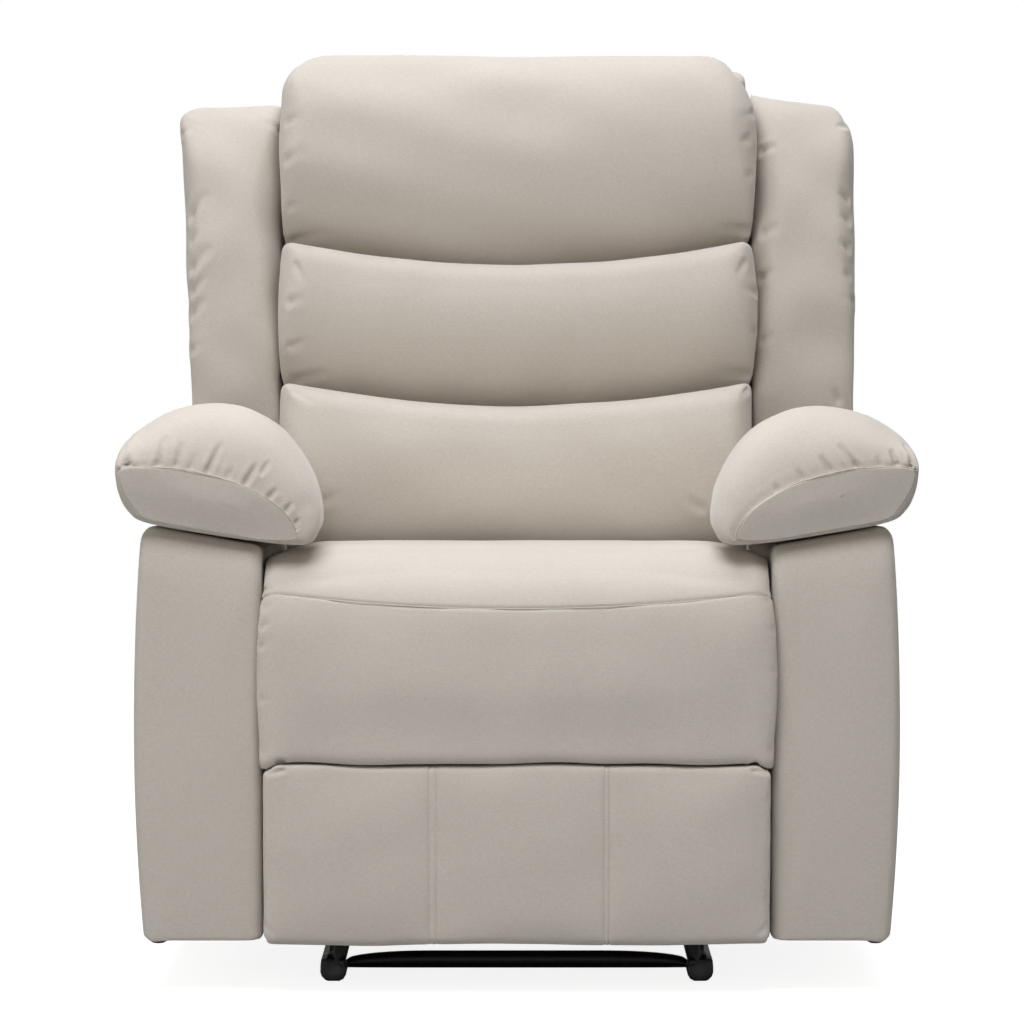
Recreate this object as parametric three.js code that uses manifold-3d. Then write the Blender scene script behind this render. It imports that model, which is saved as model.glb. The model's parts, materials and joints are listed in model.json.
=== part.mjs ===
// A single-seat reclining sofa: pillow arms, a winged back of three cushions, a padded seat and a footrest
// that folds out from under it, all carried by a folding steel mechanism on two floor rails.
//
// Millimetres, +Z up. The sitter faces -Y. The origin is on the floor under the middle of the sofa.
// "left" and "right" are as seen from the front, so right is +X. Angles are in degrees.
import * as THREE from "three";
import { mergeVertices } from "three/addons/utils/BufferGeometryUtils.js";
import Module from "manifold-3d";

const wasm = await Module();
wasm.setup();

// Clearances
const GAP = 0.3; // between pieces that touch
const PIN_PLAY = 0.4; // round a pivot pin, on the radius
const LAYER_GAP = 1; // between two links side by side
const OVERRUN = 5; // how far a cutter passes the face that it cuts

// Floor rails, glides and cross tubes
const RAIL_INSET = 71; // middle of a rail, in from the seat's side
const RAIL_WIDTH = 24;
const RAIL_HEIGHT = 18;
const RAIL_BOTTOM_Z = 6;
const RAIL_FRONT_Y = -343;
const RAIL_LENGTH = 580;
const GLIDE_WIDTH = 30;
const GLIDE_LENGTH = 42;
const GLIDE_HEIGHT = 26;
const GLIDE_CHAMFER = 5;
const GLIDE_WALL = 2.5;
const CROSS_TUBE_DIAMETER = 20;
const CROSS_TUBE_Z = 18;
const CROSS_TUBE_FLAT = 6; // thickness of its flattened ends
const CROSS_TUBE_TAPER = 70;
const CROSS_TUBE_INSET = 54; // from a rail's end to the tube

// Steel plates and links
const PLATE = 3;
const LUG_RADIUS = 13;
const LINK_RADIUS = 11;
const PIN_RADIUS = 4;
const BASE_PLATE_INSET = 70; // inner face of a base plate, in from the seat's side
const BASE_STRIP_HEIGHT = 26;
const BASE_LUG_SPREAD = 34; // half-width of a lug where it leaves the strip
const POST_WIDTH = 15; // the folded front edge of a base plate
const POST_HEIGHT = 50;

// Swing links: they carry the seat forward as the back reclines
const SWING_LENGTH = 110;
const SWING_LEAN = 22; // how far they lean back at rest
const SWING_FRONT_Y = -215;
const SWING_REAR_Y = 85;
const SWING_PIVOT_Z = 118;

// Back hinge and its drive link
const HINGE_Y = 160;
const HINGE_Z = 330;
const BACK_LEAN = 16;
const DRIVE_BASE_Y = 136;
const DRIVE_BASE_Z = 84;
const DRIVE_ARM_Y = 21.4; // its upper pin, from the hinge
const DRIVE_ARM_Z = -40.7;
const DRIVE_PLAY = 2.6; // play at its upper pin, which takes up the error of the opened linkage

// Seat plates
const SEAT_PLATE_TOP_Z = 346;
const SEAT_PLATE_WAIST_Z = 266;
const SEAT_PLATE_FRONT_Y = -216;
const SEAT_PLATE_REAR_Y = 140;
const SEAT_PLATE_NECK_Z = 300;
const SPACER_RADIUS = 6;
const SPACER_FRONT_Y = -199;
const SPACER_REAR_Y = 100;
const SPACER_Z = 328;

// Footrest linkage, as pivots at rest
const DRIVE_LINK_Y = -120; // short drive link, at the seat plate
const DRIVE_LINK_Z = 290;
const DRIVE_LINK_LENGTH = 240;
const DRIVE_LINK_ANGLE = -28;
const TIE_PIN_ALONG = 10; // the tie link's pin, from the drive link's end
const TIE_PIN_UP = 31;
const GUIDE_Y = -158; // guide link, at the seat plate
const GUIDE_Z = 314.8;
const GUIDE_END_Y = 33.6; // guide link, at the long link
const GUIDE_END_Z = 210.5;
const GUIDE_PLAY = 3.8; // play there, which takes up the error of the opened linkage
const FOOT_PIN_Y = -374; // long link, at the footrest bracket
const FOOT_PIN_Z = 165;
const FOOT_TIE_Y = -349.6; // tie link, at the footrest bracket
const FOOT_TIE_Z = 205.2;
const TIE_PLAY = 1.4; // play there
const TORQUE_TUBE_RADIUS = 9;

// Seat
const SEAT_WIDTH = 564;
const SEAT_FRONT_Y = -455;
const SEAT_REAR_Y = 78;
const SEAT_BOTTOM_Z = 262;
const SEAT_DECK_Z = 361; // underside of the foam
const SEAT_FRONT_CREST_Z = 499;
const SEAT_REAR_CREST_Z = 476;
const SEAT_NOSE_RADIUS = 78;
const SEAT_DROP = 63; // thickness of the padding in front of the seat frame
const SEAT_SIDE_DRAW = 6;
const SEAT_SIDE_ROUND = 28;
const SEAT_CROWN = 5; // how far its front swells in the middle

// Seat frame and springs
const TIMBER = 22;
const SEAT_RAIL_HEIGHT = 91;
const SEAT_RAIL_INSET = 41; // inner face of a side rail, in from the seat's side
const SPRING_COUNT = 4;
const SPRING_SPACING_SHARE = 0.21; // of the seat's width
const SPRING_WIRE = 2; // radius
const SPRING_WAVES = 6;
const SPRING_STEPS = 6; // along each wave
const SPRING_SWING = 21;

// Footrest
const FOOT_SIDE_INSET = 1; // in from the seat's side
const FOOT_BOTTOM_Z = 56;
const FOOT_TOP_Z = 259;
const FOOT_PAD = 53; // thickness of the padding
const FOOT_ROUND = 20;
const FOOT_CROWN = 5;
const FOOT_BOARD = 15;
const FOOT_BOARD_MARGIN = 20;
const FOOT_FLANGE = 24;

// Arms
const ARM_TO_SEAT = 3;
const ARM_WIDTH = 144;
const ARM_FRONT_Y = -434;
const ARM_REAR_Y = 250;
const ARM_BOTTOM_Z = 60;
const ARM_TOP_INNER_Z = 502;
const ARM_TOP_RISE = 26; // across the arm, to its outer edge
const ARM_TOP_FALL = 30; // along the arm, to its rear
const ARM_TOP_DRAW = 8;
const ARM_BOTTOM_DRAW = 14;
const ARM_ROUND = 22;
const ARM_FRONT_CROWN = 6;
const ARM_FRAME_WIDTH = 98;
const ARM_FRAME_INSET = 15; // from the cover's inner face
const ARM_FRAME_END_INSET = 32;
const ARM_FRAME_TOP_Z = 446;
const ARM_FRAME_HOLE = 44; // radius
const ARM_BOLT_RADIUS = 8;
const ARM_BOLT_FRONT_Y = -300;
const ARM_BOLT_REAR_Y = 20;
const ARM_BOLT_Z = 310;

// Arm pads
const PAD_WIDTH = 229;
const PAD_OVERHANG = 18; // past the arm's outer face
const PAD_HEIGHT = 158;
const PAD_FRONT_Y = -454;
const PAD_REAR_Y = 136;
const PAD_NOSE = 92; // length over which the front rises to full height
const PAD_TAIL = 150; // length over which the rear droops
const PAD_TAIL_DRAW = 86; // how far the inner side draws in, to pass the back cushions
const PAD_DRAW_FROM_Y = -70;
const PAD_DRAW_TO_Y = 85;

// Back, measured square to and along its own lean from the hinge
const BACK_OVER_SEAT = 13; // how far the back cushions stand past the seat's side
const BACK_FRONT = 92; // cushion fronts, ahead of the hinge line, before their crown
const BACK_CROWN = 32;
const BACK_SAG = 31; // how far a cushion seam dips in the middle
const BACK_SHELL_FRONT = 22;
const BACK_SHELL_DEPTH = 74;
const BACK_PANEL = 21;
const BACK_PANEL_INSET = 30;
const LOW_CUSHION_FOOT = 88;
const LOW_CUSHION_FOOT_INSET = 10; // in from the seat's side, to pass between the arms
const SEAM_LOW = 331; // seam heights at the corners
const SEAM_HIGH = 515;
const HEAD_TOP = 767;
const HEAD_CORNER = 46;
const WING_GAP = 4; // between a wing and the cushions
const WING_WIDTH = 130;
const WING_FRONT = 60;
const WING_CROWN = 22;
const WING_FOOT = 207;
const WING_TOP = 712;
const WING_TOP_FALL = 12;
const WING_TAPER = 26; // narrowing towards its foot
const SHELL_FOOT = -130; // the middle hangs lower, between the seat plates
const SHELL_FOOT_GAP = 7; // in from the base plates
const SHELL_STEP = -2;
const SHELL_SHOULDER = 703;
const SHELL_TOP = 745;
const SHELL_ROUND = 16;
const SHELL_WAIST_INSET = 2; // in from the seat's side, to pass between the arms
const SHELL_WING_INSET = 4; // in from a wing's outer side
const SHELL_HEAD_INSET = 12; // in from the cushions' side
const BRACKET_FRONT = 12;
const BRACKET_TOP = 86;
const BRACKET_FLANGE = 26;
const BRACKET_FLANGE_FOOT = 30;

// Rear rail between the arms
const REAR_RAIL_Y = 230;
const REAR_RAIL_THICKNESS = 20;
const REAR_RAIL_BOTTOM_Z = 104; // it passes over the base plates as the sofa reclines
const REAR_RAIL_HEIGHT = 98;

// Release tab, between the seat and the arm on the left
const TAB_Y = -197;
const TAB_WIDTH = 34;
const TAB_THICKNESS = 2.2;
const TAB_FOOT_Z = 425;
const TAB_HEIGHT = 48;
const TAB_ROD_RADIUS = 1;
const TAB_ROD_LENGTH = 120;

// Working values that several pieces share
const SIDES = 12; // sides of a round piece
const SEAT_SIDE_X = SEAT_WIDTH / 2;
const RAIL_X = SEAT_SIDE_X - RAIL_INSET;
const SEAT_RAIL_X = SEAT_SIDE_X - SEAT_RAIL_INSET;
const FOOT_SIDE_X = SEAT_SIDE_X - FOOT_SIDE_INSET;
const BACK_SIDE_X = SEAT_SIDE_X + BACK_OVER_SEAT;
const WING_X = BACK_SIDE_X + WING_GAP;
const BASE_LAYER = SEAT_SIDE_X - BASE_PLATE_INSET;
const SWING_LAYER = BASE_LAYER + PLATE + LAYER_GAP;
const SEAT_LAYER = SWING_LAYER + PLATE + LAYER_GAP;
const DRIVE_LAYER = SEAT_LAYER + PLATE + LAYER_GAP;
const LONG_LAYER = DRIVE_LAYER + PLATE + LAYER_GAP;
const GUIDE_LAYER = LONG_LAYER + PLATE + LAYER_GAP;
const TIE_LAYER = GUIDE_LAYER + PLATE + LAYER_GAP;
const RAIL_TOP_Z = RAIL_BOTTOM_Z + RAIL_HEIGHT;
const RAIL_REAR_Y = RAIL_FRONT_Y + RAIL_LENGTH;
const ARM_INNER_X = SEAT_SIDE_X + ARM_TO_SEAT;
const ARM_OUTER_X = ARM_INNER_X + ARM_WIDTH;
const radians = THREE.MathUtils.degToRad;

// A point in the side view: y along the sofa, z up
const at = (y, z) => new THREE.Vector2(y, z);
const stepFrom = (start, length, angle) =>
  at(start.x + length * Math.cos(radians(angle)), start.y + length * Math.sin(radians(angle)));

const swingFrontBase = at(SWING_FRONT_Y, SWING_PIVOT_Z);
const swingRearBase = at(SWING_REAR_Y, SWING_PIVOT_Z);
const swingFrontTop = stepFrom(swingFrontBase, SWING_LENGTH, 90 - SWING_LEAN);
const swingRearTop = stepFrom(swingRearBase, SWING_LENGTH, 90 - SWING_LEAN);
const backHinge = at(HINGE_Y, HINGE_Z);
const driveBase = at(DRIVE_BASE_Y, DRIVE_BASE_Z);
const driveTop = at(HINGE_Y + DRIVE_ARM_Y, HINGE_Z + DRIVE_ARM_Z);
const footDrive = at(DRIVE_LINK_Y, DRIVE_LINK_Z);
const footElbow = stepFrom(footDrive, DRIVE_LINK_LENGTH, DRIVE_LINK_ANGLE);
const tieElbow = at(footElbow.x + TIE_PIN_ALONG, footElbow.y + TIE_PIN_UP);
const guideTop = at(GUIDE_Y, GUIDE_Z);
const guideEnd = at(GUIDE_END_Y, GUIDE_END_Z);
const footPin = at(FOOT_PIN_Y, FOOT_PIN_Z);
const footTie = at(FOOT_TIE_Y, FOOT_TIE_Z);

// Materials
const finish = (color, roughness, metalness = 0) =>
  new THREE.MeshStandardMaterial({ color, roughness, metalness });
const fabric = finish(0xb9afa4, 0.95);
const steel = finish(0x16171a, 0.45, 0.6);
const plastic = finish(0x151515, 0.55);
const timber = finish(0xb48c5a, 0.8);

// Geometry helpers

// The geometry's faces, turned to point outwards.
function outward(geometry) {
  const position = geometry.attributes.position;
  const index = geometry.index.array;
  const corners = [new THREE.Vector3(), new THREE.Vector3(), new THREE.Vector3()];
  let volume = 0;
  for (let i = 0; i < index.length; i += 3) {
    corners.forEach((corner, k) => corner.fromBufferAttribute(position, index[i + k]));
    volume += corners[0].dot(corners[1].clone().cross(corners[2]));
  }
  if (volume < 0) {
    for (let i = 0; i < index.length; i += 3) {
      [index[i + 1], index[i + 2]] = [index[i + 2], index[i + 1]];
    }
  }
  return geometry;
}

function bare(geometry) {
  const copy = geometry.clone();
  copy.deleteAttribute("normal");
  copy.deleteAttribute("uv");
  return mergeVertices(copy);
}

function toSolid(geometry) {
  const merged = outward(bare(geometry));
  return new wasm.Manifold(
    new wasm.Mesh({
      numProp: 3,
      vertProperties: merged.attributes.position.array,
      triVerts: new Uint32Array(merged.index.array),
    }),
  );
}

function fromSolid(solid) {
  const made = solid.getMesh();
  const geometry = new THREE.BufferGeometry();
  geometry.setAttribute("position", new THREE.BufferAttribute(made.vertProperties, 3));
  geometry.setIndex(new THREE.BufferAttribute(made.triVerts, 1));
  geometry.computeVertexNormals();
  return geometry;
}

const unite = (...parts) => fromSolid(parts.map(toSolid).reduce((whole, part) => whole.add(part)));
const carve = (body, ...cutters) =>
  fromSolid(cutters.map(toSolid).reduce((whole, cutter) => whole.subtract(cutter), toSolid(body)));

// A box from its lowest to its highest corner.
function block(x0, x1, y0, y1, z0, z1) {
  const geometry = new THREE.BoxGeometry(x1 - x0, y1 - y0, z1 - z0);
  return geometry.translate((x0 + x1) / 2, (y0 + y1) / 2, (z0 + z1) / 2);
}

// A shape drawn in the side view, made a plate from x to x + thickness.
function sidePlate(shape, x, thickness = PLATE) {
  const geometry = new THREE.ExtrudeGeometry(shape, {
    depth: thickness,
    bevelEnabled: false,
    curveSegments: SIDES / 2,
  });
  const toSideView = new THREE.Matrix4().set(0, 0, 1, x, 1, 0, 0, 0, 0, 1, 0, 0, 0, 0, 0, 1);
  return geometry.applyMatrix4(toSideView);
}

// A round pin along x.
function crossPin(point, x0, x1, radius = PIN_RADIUS) {
  const geometry = new THREE.CylinderGeometry(radius, radius, x1 - x0, SIDES);
  return geometry.rotateZ(Math.PI / 2).translate((x0 + x1) / 2, point.x, point.y);
}

const hole = (point, radius) => new THREE.Path().absarc(point.x, point.y, radius, 0, 2 * Math.PI, true);
const pinHole = (point) => hole(point, PIN_RADIUS + PIN_PLAY);

// A flat link with round ends.
function linkShape(a, b, radius = LINK_RADIUS) {
  const angle = Math.atan2(b.y - a.y, b.x - a.x);
  const shape = new THREE.Shape();
  shape.absarc(a.x, a.y, radius, angle + Math.PI / 2, angle - Math.PI / 2, false);
  shape.absarc(b.x, b.y, radius, angle - Math.PI / 2, angle + Math.PI / 2, false);
  shape.closePath();
  return shape;
}

// A lug that rises from a straight edge at baseZ and closes round a pivot.
function lugShape(pivot, spread, baseZ, radius = LUG_RADIUS) {
  const up = pivot.y > baseZ;
  const shape = new THREE.Shape();
  shape.moveTo(pivot.x - spread, baseZ);
  shape.lineTo(pivot.x + spread, baseZ);
  shape.absarc(pivot.x, pivot.y, radius, 0, up ? Math.PI : -Math.PI, !up);
  shape.closePath();
  return shape;
}

// The middle of a ring of points.
const middleOf = (ring) =>
  ring.reduce((sum, p) => sum.add(p), new THREE.Vector3()).divideScalar(ring.length);

// A closed skin through rings of points. Each end is filled by a fan from its heart.
function loft(rings, heart = middleOf) {
  const count = rings[0].length;
  const last = (rings.length - 1) * count;
  const hearts = [heart(rings[0]), heart(rings.at(-1))];
  const points = [...rings.flat(), ...hearts];
  const indices = [];
  for (let j = 0; j < count; j++) {
    const next = (j + 1) % count;
    for (let ring = 0; ring < last; ring += count) {
      const ahead = ring + count;
      indices.push(ring + j, ring + next, ahead + next, ring + j, ahead + next, ahead + j);
    }
    indices.push(next, j, points.length - 2, last + j, last + next, points.length - 1);
  }
  const geometry = new THREE.BufferGeometry().setFromPoints(points);
  geometry.setIndex(indices);
  return outward(geometry);
}

// A box skin whose grid points are moved by place(u, v, w), each from -1 to 1.
function sculpted(segments, place) {
  const geometry = bare(new THREE.BoxGeometry(2, 2, 2, ...segments));
  const position = geometry.attributes.position;
  const point = new THREE.Vector3();
  for (let i = 0; i < position.count; i++) {
    point.fromBufferAttribute(position, i);
    position.setXYZ(i, ...place(point.x, point.y, point.z).toArray());
  }
  return outward(geometry);
}

// Grid lines are drawn closer together towards the edges of a cushion.
const ease = (t) => Math.sin((t * Math.PI) / 2);

// A point of a round-edged box, for a grid point of its skin.
function roundedPoint(u, v, w, half, radius) {
  const point = new THREE.Vector3(ease(u) * half.x, ease(v) * half.y, ease(w) * half.z);
  const inner = new THREE.Vector3(half.x, half.y, half.z).subScalar(radius);
  const core = point.clone().clamp(inner.clone().negate(), inner);
  const out = point.sub(core);
  return out.lengthSq() > 0 ? core.add(out.setLength(radius)) : core;
}

// Scene helpers
const model = new THREE.Group();

function add(name, geometry, material, parent = model) {
  const mesh = new THREE.Mesh(geometry, material);
  mesh.name = name;
  parent.add(mesh);
  return mesh;
}

// A piece made for the right side, and its mirror image on the left.
function addPair(name, geometry, material, parent = model) {
  add(name + "_right", geometry, material, parent);
  add(name + "_left", geometry, material, parent).scale.x = -1;
}

// Base: floor rails, plastic glides, cross tubes and upright plates

function floorRail() {
  const half = RAIL_WIDTH / 2;
  return block(RAIL_X - half, RAIL_X + half, RAIL_FRONT_Y, RAIL_REAR_Y, RAIL_BOTTOM_Z, RAIL_TOP_Z);
}

// A boot with a chamfered toe that slips over a rail's end. end is -1 at the front and 1 at the rear.
function glide(end) {
  const tip = (end < 0 ? RAIL_FRONT_Y : RAIL_REAR_Y) + end * (GLIDE_WALL + GAP);
  const shape = new THREE.Shape();
  const half = GLIDE_WIDTH / 2;
  shape.moveTo(-half + GLIDE_CHAMFER, 0);
  shape.lineTo(half - GLIDE_CHAMFER, 0);
  shape.lineTo(half, GLIDE_CHAMFER);
  shape.lineTo(half, GLIDE_HEIGHT - GLIDE_WALL);
  shape.lineTo(half - GLIDE_WALL, GLIDE_HEIGHT);
  shape.lineTo(-half + GLIDE_WALL, GLIDE_HEIGHT);
  shape.lineTo(-half, GLIDE_HEIGHT - GLIDE_WALL);
  shape.lineTo(-half, GLIDE_CHAMFER);
  shape.closePath();
  const body = new THREE.ExtrudeGeometry(shape, { depth: GLIDE_LENGTH, bevelEnabled: false });
  body.rotateX(Math.PI / 2);
  body.translate(RAIL_X, tip + (end < 0 ? GLIDE_LENGTH : 0), 0);
  const reach = RAIL_WIDTH / 2 + GAP;
  const mouth = tip - end * (GLIDE_LENGTH + OVERRUN);
  const bottom = tip - end * GLIDE_WALL;
  const pocket = block(
    RAIL_X - reach,
    RAIL_X + reach,
    Math.min(mouth, bottom),
    Math.max(mouth, bottom),
    RAIL_BOTTOM_Z - GAP,
    RAIL_TOP_Z + GAP,
  );
  return carve(body, pocket);
}

// A round tube whose ends are pressed flat where they meet the rails.
function crossTube(y) {
  const reach = RAIL_X - RAIL_WIDTH / 2 - GAP;
  const radius = CROSS_TUBE_DIAMETER / 2;
  const taper = CROSS_TUBE_TAPER;
  const places = [0, taper / 3, (2 * taper) / 3, taper, 2 * reach - taper];
  places.push(2 * reach - (2 * taper) / 3, 2 * reach - taper / 3, 2 * reach);
  const rings = places.map((place) => {
    const fromEnd = Math.min(place, 2 * reach - place);
    const share = ease(Math.min(fromEnd / taper, 1));
    const height = THREE.MathUtils.lerp(CROSS_TUBE_FLAT / 2, radius, share);
    const lift = height - radius; // the underside stays level
    return Array.from({ length: SIDES }, (_, i) => {
      const angle = (2 * Math.PI * i) / SIDES;
      const z = CROSS_TUBE_Z + lift + height * Math.sin(angle);
      return new THREE.Vector3(place - reach, y + radius * Math.cos(angle), z);
    });
  });
  return loft(rings);
}

// Upright plate on a rail: a strip with lugs for the swing links and the back's drive link.
function basePlate() {
  const foot = RAIL_TOP_Z + GAP;
  const stripTop = foot + BASE_STRIP_HEIGHT;
  const front = RAIL_FRONT_Y + GLIDE_LENGTH;
  const rear = DRIVE_BASE_Y + BASE_LUG_SPREAD;
  const strip = block(BASE_LAYER, BASE_LAYER + PLATE, front, rear, foot, stripTop);
  const lugs = [swingFrontBase, swingRearBase, driveBase].map((pivot) =>
    sidePlate(lugShape(pivot, BASE_LUG_SPREAD, foot), BASE_LAYER),
  );
  const pins = [swingFrontBase, swingRearBase, driveBase].map((pivot) =>
    crossPin(pivot, BASE_LAYER, SWING_LAYER + PLATE + LAYER_GAP / 2),
  );
  const post = block(
    BASE_LAYER + PLATE - POST_WIDTH,
    BASE_LAYER + PLATE,
    front,
    front + PLATE,
    foot,
    foot + POST_HEIGHT,
  );
  return unite(strip, post, ...lugs, ...pins);
}

function addBase() {
  addPair("floor_rail", floorRail(), steel);
  addPair("glide_front", glide(-1), plastic);
  addPair("glide_rear", glide(1), plastic);
  add("cross_tube_front", crossTube(RAIL_FRONT_Y + CROSS_TUBE_INSET), steel);
  add("cross_tube_rear", crossTube(RAIL_REAR_Y - CROSS_TUBE_INSET), steel);
  addPair("base_plate", basePlate(), steel);
}

// Swing links and drive links

function plainLink(a, b, x, endHole = pinHole(b)) {
  const shape = linkShape(a, b);
  shape.holes.push(pinHole(a), endHole);
  return sidePlate(shape, x);
}

function addSwing() {
  addPair("swing_link_front", plainLink(swingFrontBase, swingFrontTop, SWING_LAYER), steel);
  addPair("swing_link_rear", plainLink(swingRearBase, swingRearTop, SWING_LAYER), steel);
  const looseHole = hole(driveTop, PIN_RADIUS + DRIVE_PLAY);
  addPair("back_drive_link", plainLink(driveBase, driveTop, SWING_LAYER, looseHole), steel);
}

// Seat frame: steel side plates, timber rails and wave springs

function seatPlate() {
  const shape = new THREE.Shape();
  shape.moveTo(SEAT_PLATE_FRONT_Y, SEAT_PLATE_TOP_Z);
  shape.lineTo(SEAT_PLATE_FRONT_Y, SEAT_PLATE_WAIST_Z);
  shape.absarc(swingFrontTop.x, swingFrontTop.y, LUG_RADIUS, Math.PI, 2 * Math.PI, false);
  shape.lineTo(footDrive.x, SEAT_PLATE_WAIST_Z);
  shape.lineTo(swingRearTop.x - BASE_LUG_SPREAD, SEAT_PLATE_WAIST_Z);
  shape.absarc(swingRearTop.x, swingRearTop.y, LUG_RADIUS, Math.PI, 2 * Math.PI, false);
  shape.lineTo(SEAT_PLATE_REAR_Y, SEAT_PLATE_NECK_Z);
  shape.lineTo(backHinge.x, backHinge.y - LUG_RADIUS);
  shape.absarc(backHinge.x, backHinge.y, LUG_RADIUS, -Math.PI / 2, Math.PI / 2, false);
  shape.lineTo(SEAT_PLATE_REAR_Y, SEAT_PLATE_TOP_Z);
  shape.closePath();
  shape.holes.push(hole(footDrive, TORQUE_TUBE_RADIUS + PIN_PLAY), pinHole(guideTop));
  const outer = SEAT_LAYER + PLATE;
  const inwardPins = [swingFrontTop, swingRearTop].map((p) => crossPin(p, SWING_LAYER, outer));
  const hingePin = crossPin(backHinge, SEAT_LAYER, DRIVE_LAYER + PLATE + LAYER_GAP / 2);
  const spacers = [SPACER_FRONT_Y, SPACER_REAR_Y].map((y) =>
    crossPin(at(y, SPACER_Z), SEAT_LAYER, SEAT_RAIL_X - GAP, SPACER_RADIUS),
  );
  return unite(sidePlate(shape, SEAT_LAYER), ...inwardPins, hingePin, ...spacers);
}

// A flat wave spring from the front seat rail to the rear one.
function waveSpring(x) {
  const front = SEAT_FRONT_Y + SEAT_DROP + GAP;
  const length = SEAT_REAR_Y - front;
  const z = SEAT_DECK_Z - GAP - SPRING_WIRE;
  const steps = SPRING_WAVES * SPRING_STEPS;
  const points = Array.from({ length: steps + 1 }, (_, i) => {
    const share = i / steps;
    const swing = SPRING_SWING * Math.sin(2 * Math.PI * SPRING_WAVES * share);
    const y = front + TIMBER / 2 + (length - TIMBER) * share;
    return new THREE.Vector3(x + swing, y, z);
  });
  const wire = new THREE.Shape().absarc(0, 0, SPRING_WIRE, 0, 2 * Math.PI, false);
  return new THREE.ExtrudeGeometry(wire, {
    steps,
    extrudePath: new THREE.CatmullRomCurve3(points),
    curveSegments: SIDES / 4,
    bevelEnabled: false,
  });
}

function addSeatFrame() {
  addPair("seat_plate", seatPlate(), steel);
  const outer = SEAT_RAIL_X + TIMBER;
  const top = SEAT_DECK_Z - 2 * GAP - 2 * SPRING_WIRE;
  const bottom = top - SEAT_RAIL_HEIGHT;
  const front = SEAT_FRONT_Y + SEAT_DROP + GAP;
  const frontRear = front + TIMBER;
  const sideRail = block(SEAT_RAIL_X, outer, frontRear + GAP, SEAT_REAR_Y, bottom, top);
  addPair("seat_side_rail", sideRail, timber);
  add("seat_front_rail", block(-outer, outer, front, frontRear, bottom, top), timber);
  const reach = SEAT_LAYER - GAP; // the rear rail runs between the seat plates
  add("seat_rear_rail", block(-reach, reach, SEAT_REAR_Y - TIMBER, SEAT_REAR_Y, bottom, top), timber);
  for (let i = 0; i < SPRING_COUNT; i++) {
    const x = (i - (SPRING_COUNT - 1) / 2) * SPRING_SPACING_SHARE * SEAT_WIDTH;
    add("seat_spring_" + (i + 1), waveSpring(x), steel);
  }
}

// Seat cushion: foam on the springs, carried over the nose and down in front of the seat frame

// The cushion's side profile, from the front bottom edge up over the nose and back under.
function seatProfile() {
  const nose = SEAT_NOSE_RADIUS;
  const frontBack = SEAT_FRONT_Y + SEAT_DROP;
  const points = [at(SEAT_FRONT_Y + SEAT_SIDE_DRAW, SEAT_BOTTOM_Z)];
  points.push(at(SEAT_FRONT_Y, SEAT_BOTTOM_Z + SEAT_SIDE_DRAW));
  points.push(at(SEAT_FRONT_Y, (SEAT_BOTTOM_Z + SEAT_DECK_Z) / 2));
  for (let i = 0; i <= 5; i++) {
    const angle = Math.PI - (i / 5) * (Math.PI / 2);
    const centre = at(SEAT_FRONT_Y + nose, SEAT_FRONT_CREST_Z - nose);
    points.push(at(centre.x + nose * Math.cos(angle), centre.y + nose * Math.sin(angle)));
  }
  const crestY = SEAT_FRONT_Y + nose;
  for (const share of [0.35, 0.7, 0.95]) {
    const z = THREE.MathUtils.lerp(SEAT_FRONT_CREST_Z, SEAT_REAR_CREST_Z, share);
    points.push(at(THREE.MathUtils.lerp(crestY, SEAT_REAR_Y, share), z));
  }
  points.push(at(SEAT_REAR_Y, SEAT_REAR_CREST_Z - SEAT_SIDE_ROUND / 2));
  points.push(at(SEAT_REAR_Y, SEAT_DECK_Z), at(frontBack, SEAT_DECK_Z), at(frontBack, SEAT_BOTTOM_Z));
  return points;
}

function seatCushion() {
  const half = SEAT_SIDE_X;
  const profile = seatProfile();
  const stations = 12;
  const rings = [];
  for (let i = 0; i <= stations; i++) {
    const side = ease((2 * i) / stations - 1);
    const fromEdge = half * (1 - Math.abs(side));
    const share = Math.min(fromEdge / SEAT_SIDE_ROUND, 1);
    const fall = SEAT_SIDE_ROUND * (1 - Math.sqrt(1 - (1 - share) ** 2));
    rings.push(
      profile.map((p) => {
        const top = Math.max(p.y - SEAT_DECK_Z, 0) / (SEAT_FRONT_CREST_Z - SEAT_DECK_Z);
        const front = Math.max(SEAT_FRONT_Y + SEAT_DROP - p.x, 0) / SEAT_DROP;
        const y = p.x + front * (SEAT_SIDE_DRAW * (1 - share) - SEAT_CROWN * (1 - side * side));
        return new THREE.Vector3(side * half, y, p.y - fall * top);
      }),
    );
  }
  const heartY = SEAT_FRONT_Y + SEAT_DROP / 2;
  const heartZ = SEAT_FRONT_CREST_Z - SEAT_NOSE_RADIUS;
  return loft(rings, (ring) => new THREE.Vector3(ring[0].x, heartY, heartZ));
}

// Footrest: plywood board, padded cover, brackets and the links that carry them

function footPad() {
  const half = new THREE.Vector3(FOOT_SIDE_X, FOOT_PAD / 2, (FOOT_TOP_Z - FOOT_BOTTOM_Z) / 2);
  const middle = new THREE.Vector3(0, SEAT_FRONT_Y + FOOT_PAD / 2, (FOOT_TOP_Z + FOOT_BOTTOM_Z) / 2);
  return sculpted([10, 2, 6], (u, v, w) => {
    const point = roundedPoint(u, v, w, half, FOOT_ROUND);
    if (v > 0.99) point.y = half.y; // the back stays flat on its board
    const crown = v < 0 ? FOOT_CROWN * (1 - u * u) * (1 - w * w) : 0;
    return point.setY(point.y - crown * -v).add(middle);
  });
}

const footBoardFront = SEAT_FRONT_Y + FOOT_PAD + GAP;
const footBoardRear = footBoardFront + FOOT_BOARD;

function footBoard() {
  const half = FOOT_SIDE_X - FOOT_BOARD_MARGIN;
  const bottom = FOOT_BOTTOM_Z + FOOT_BOARD_MARGIN / 2;
  const top = FOOT_TOP_Z - FOOT_BOARD_MARGIN / 2;
  return block(-half, half, footBoardFront, footBoardRear, bottom, top);
}

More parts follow.
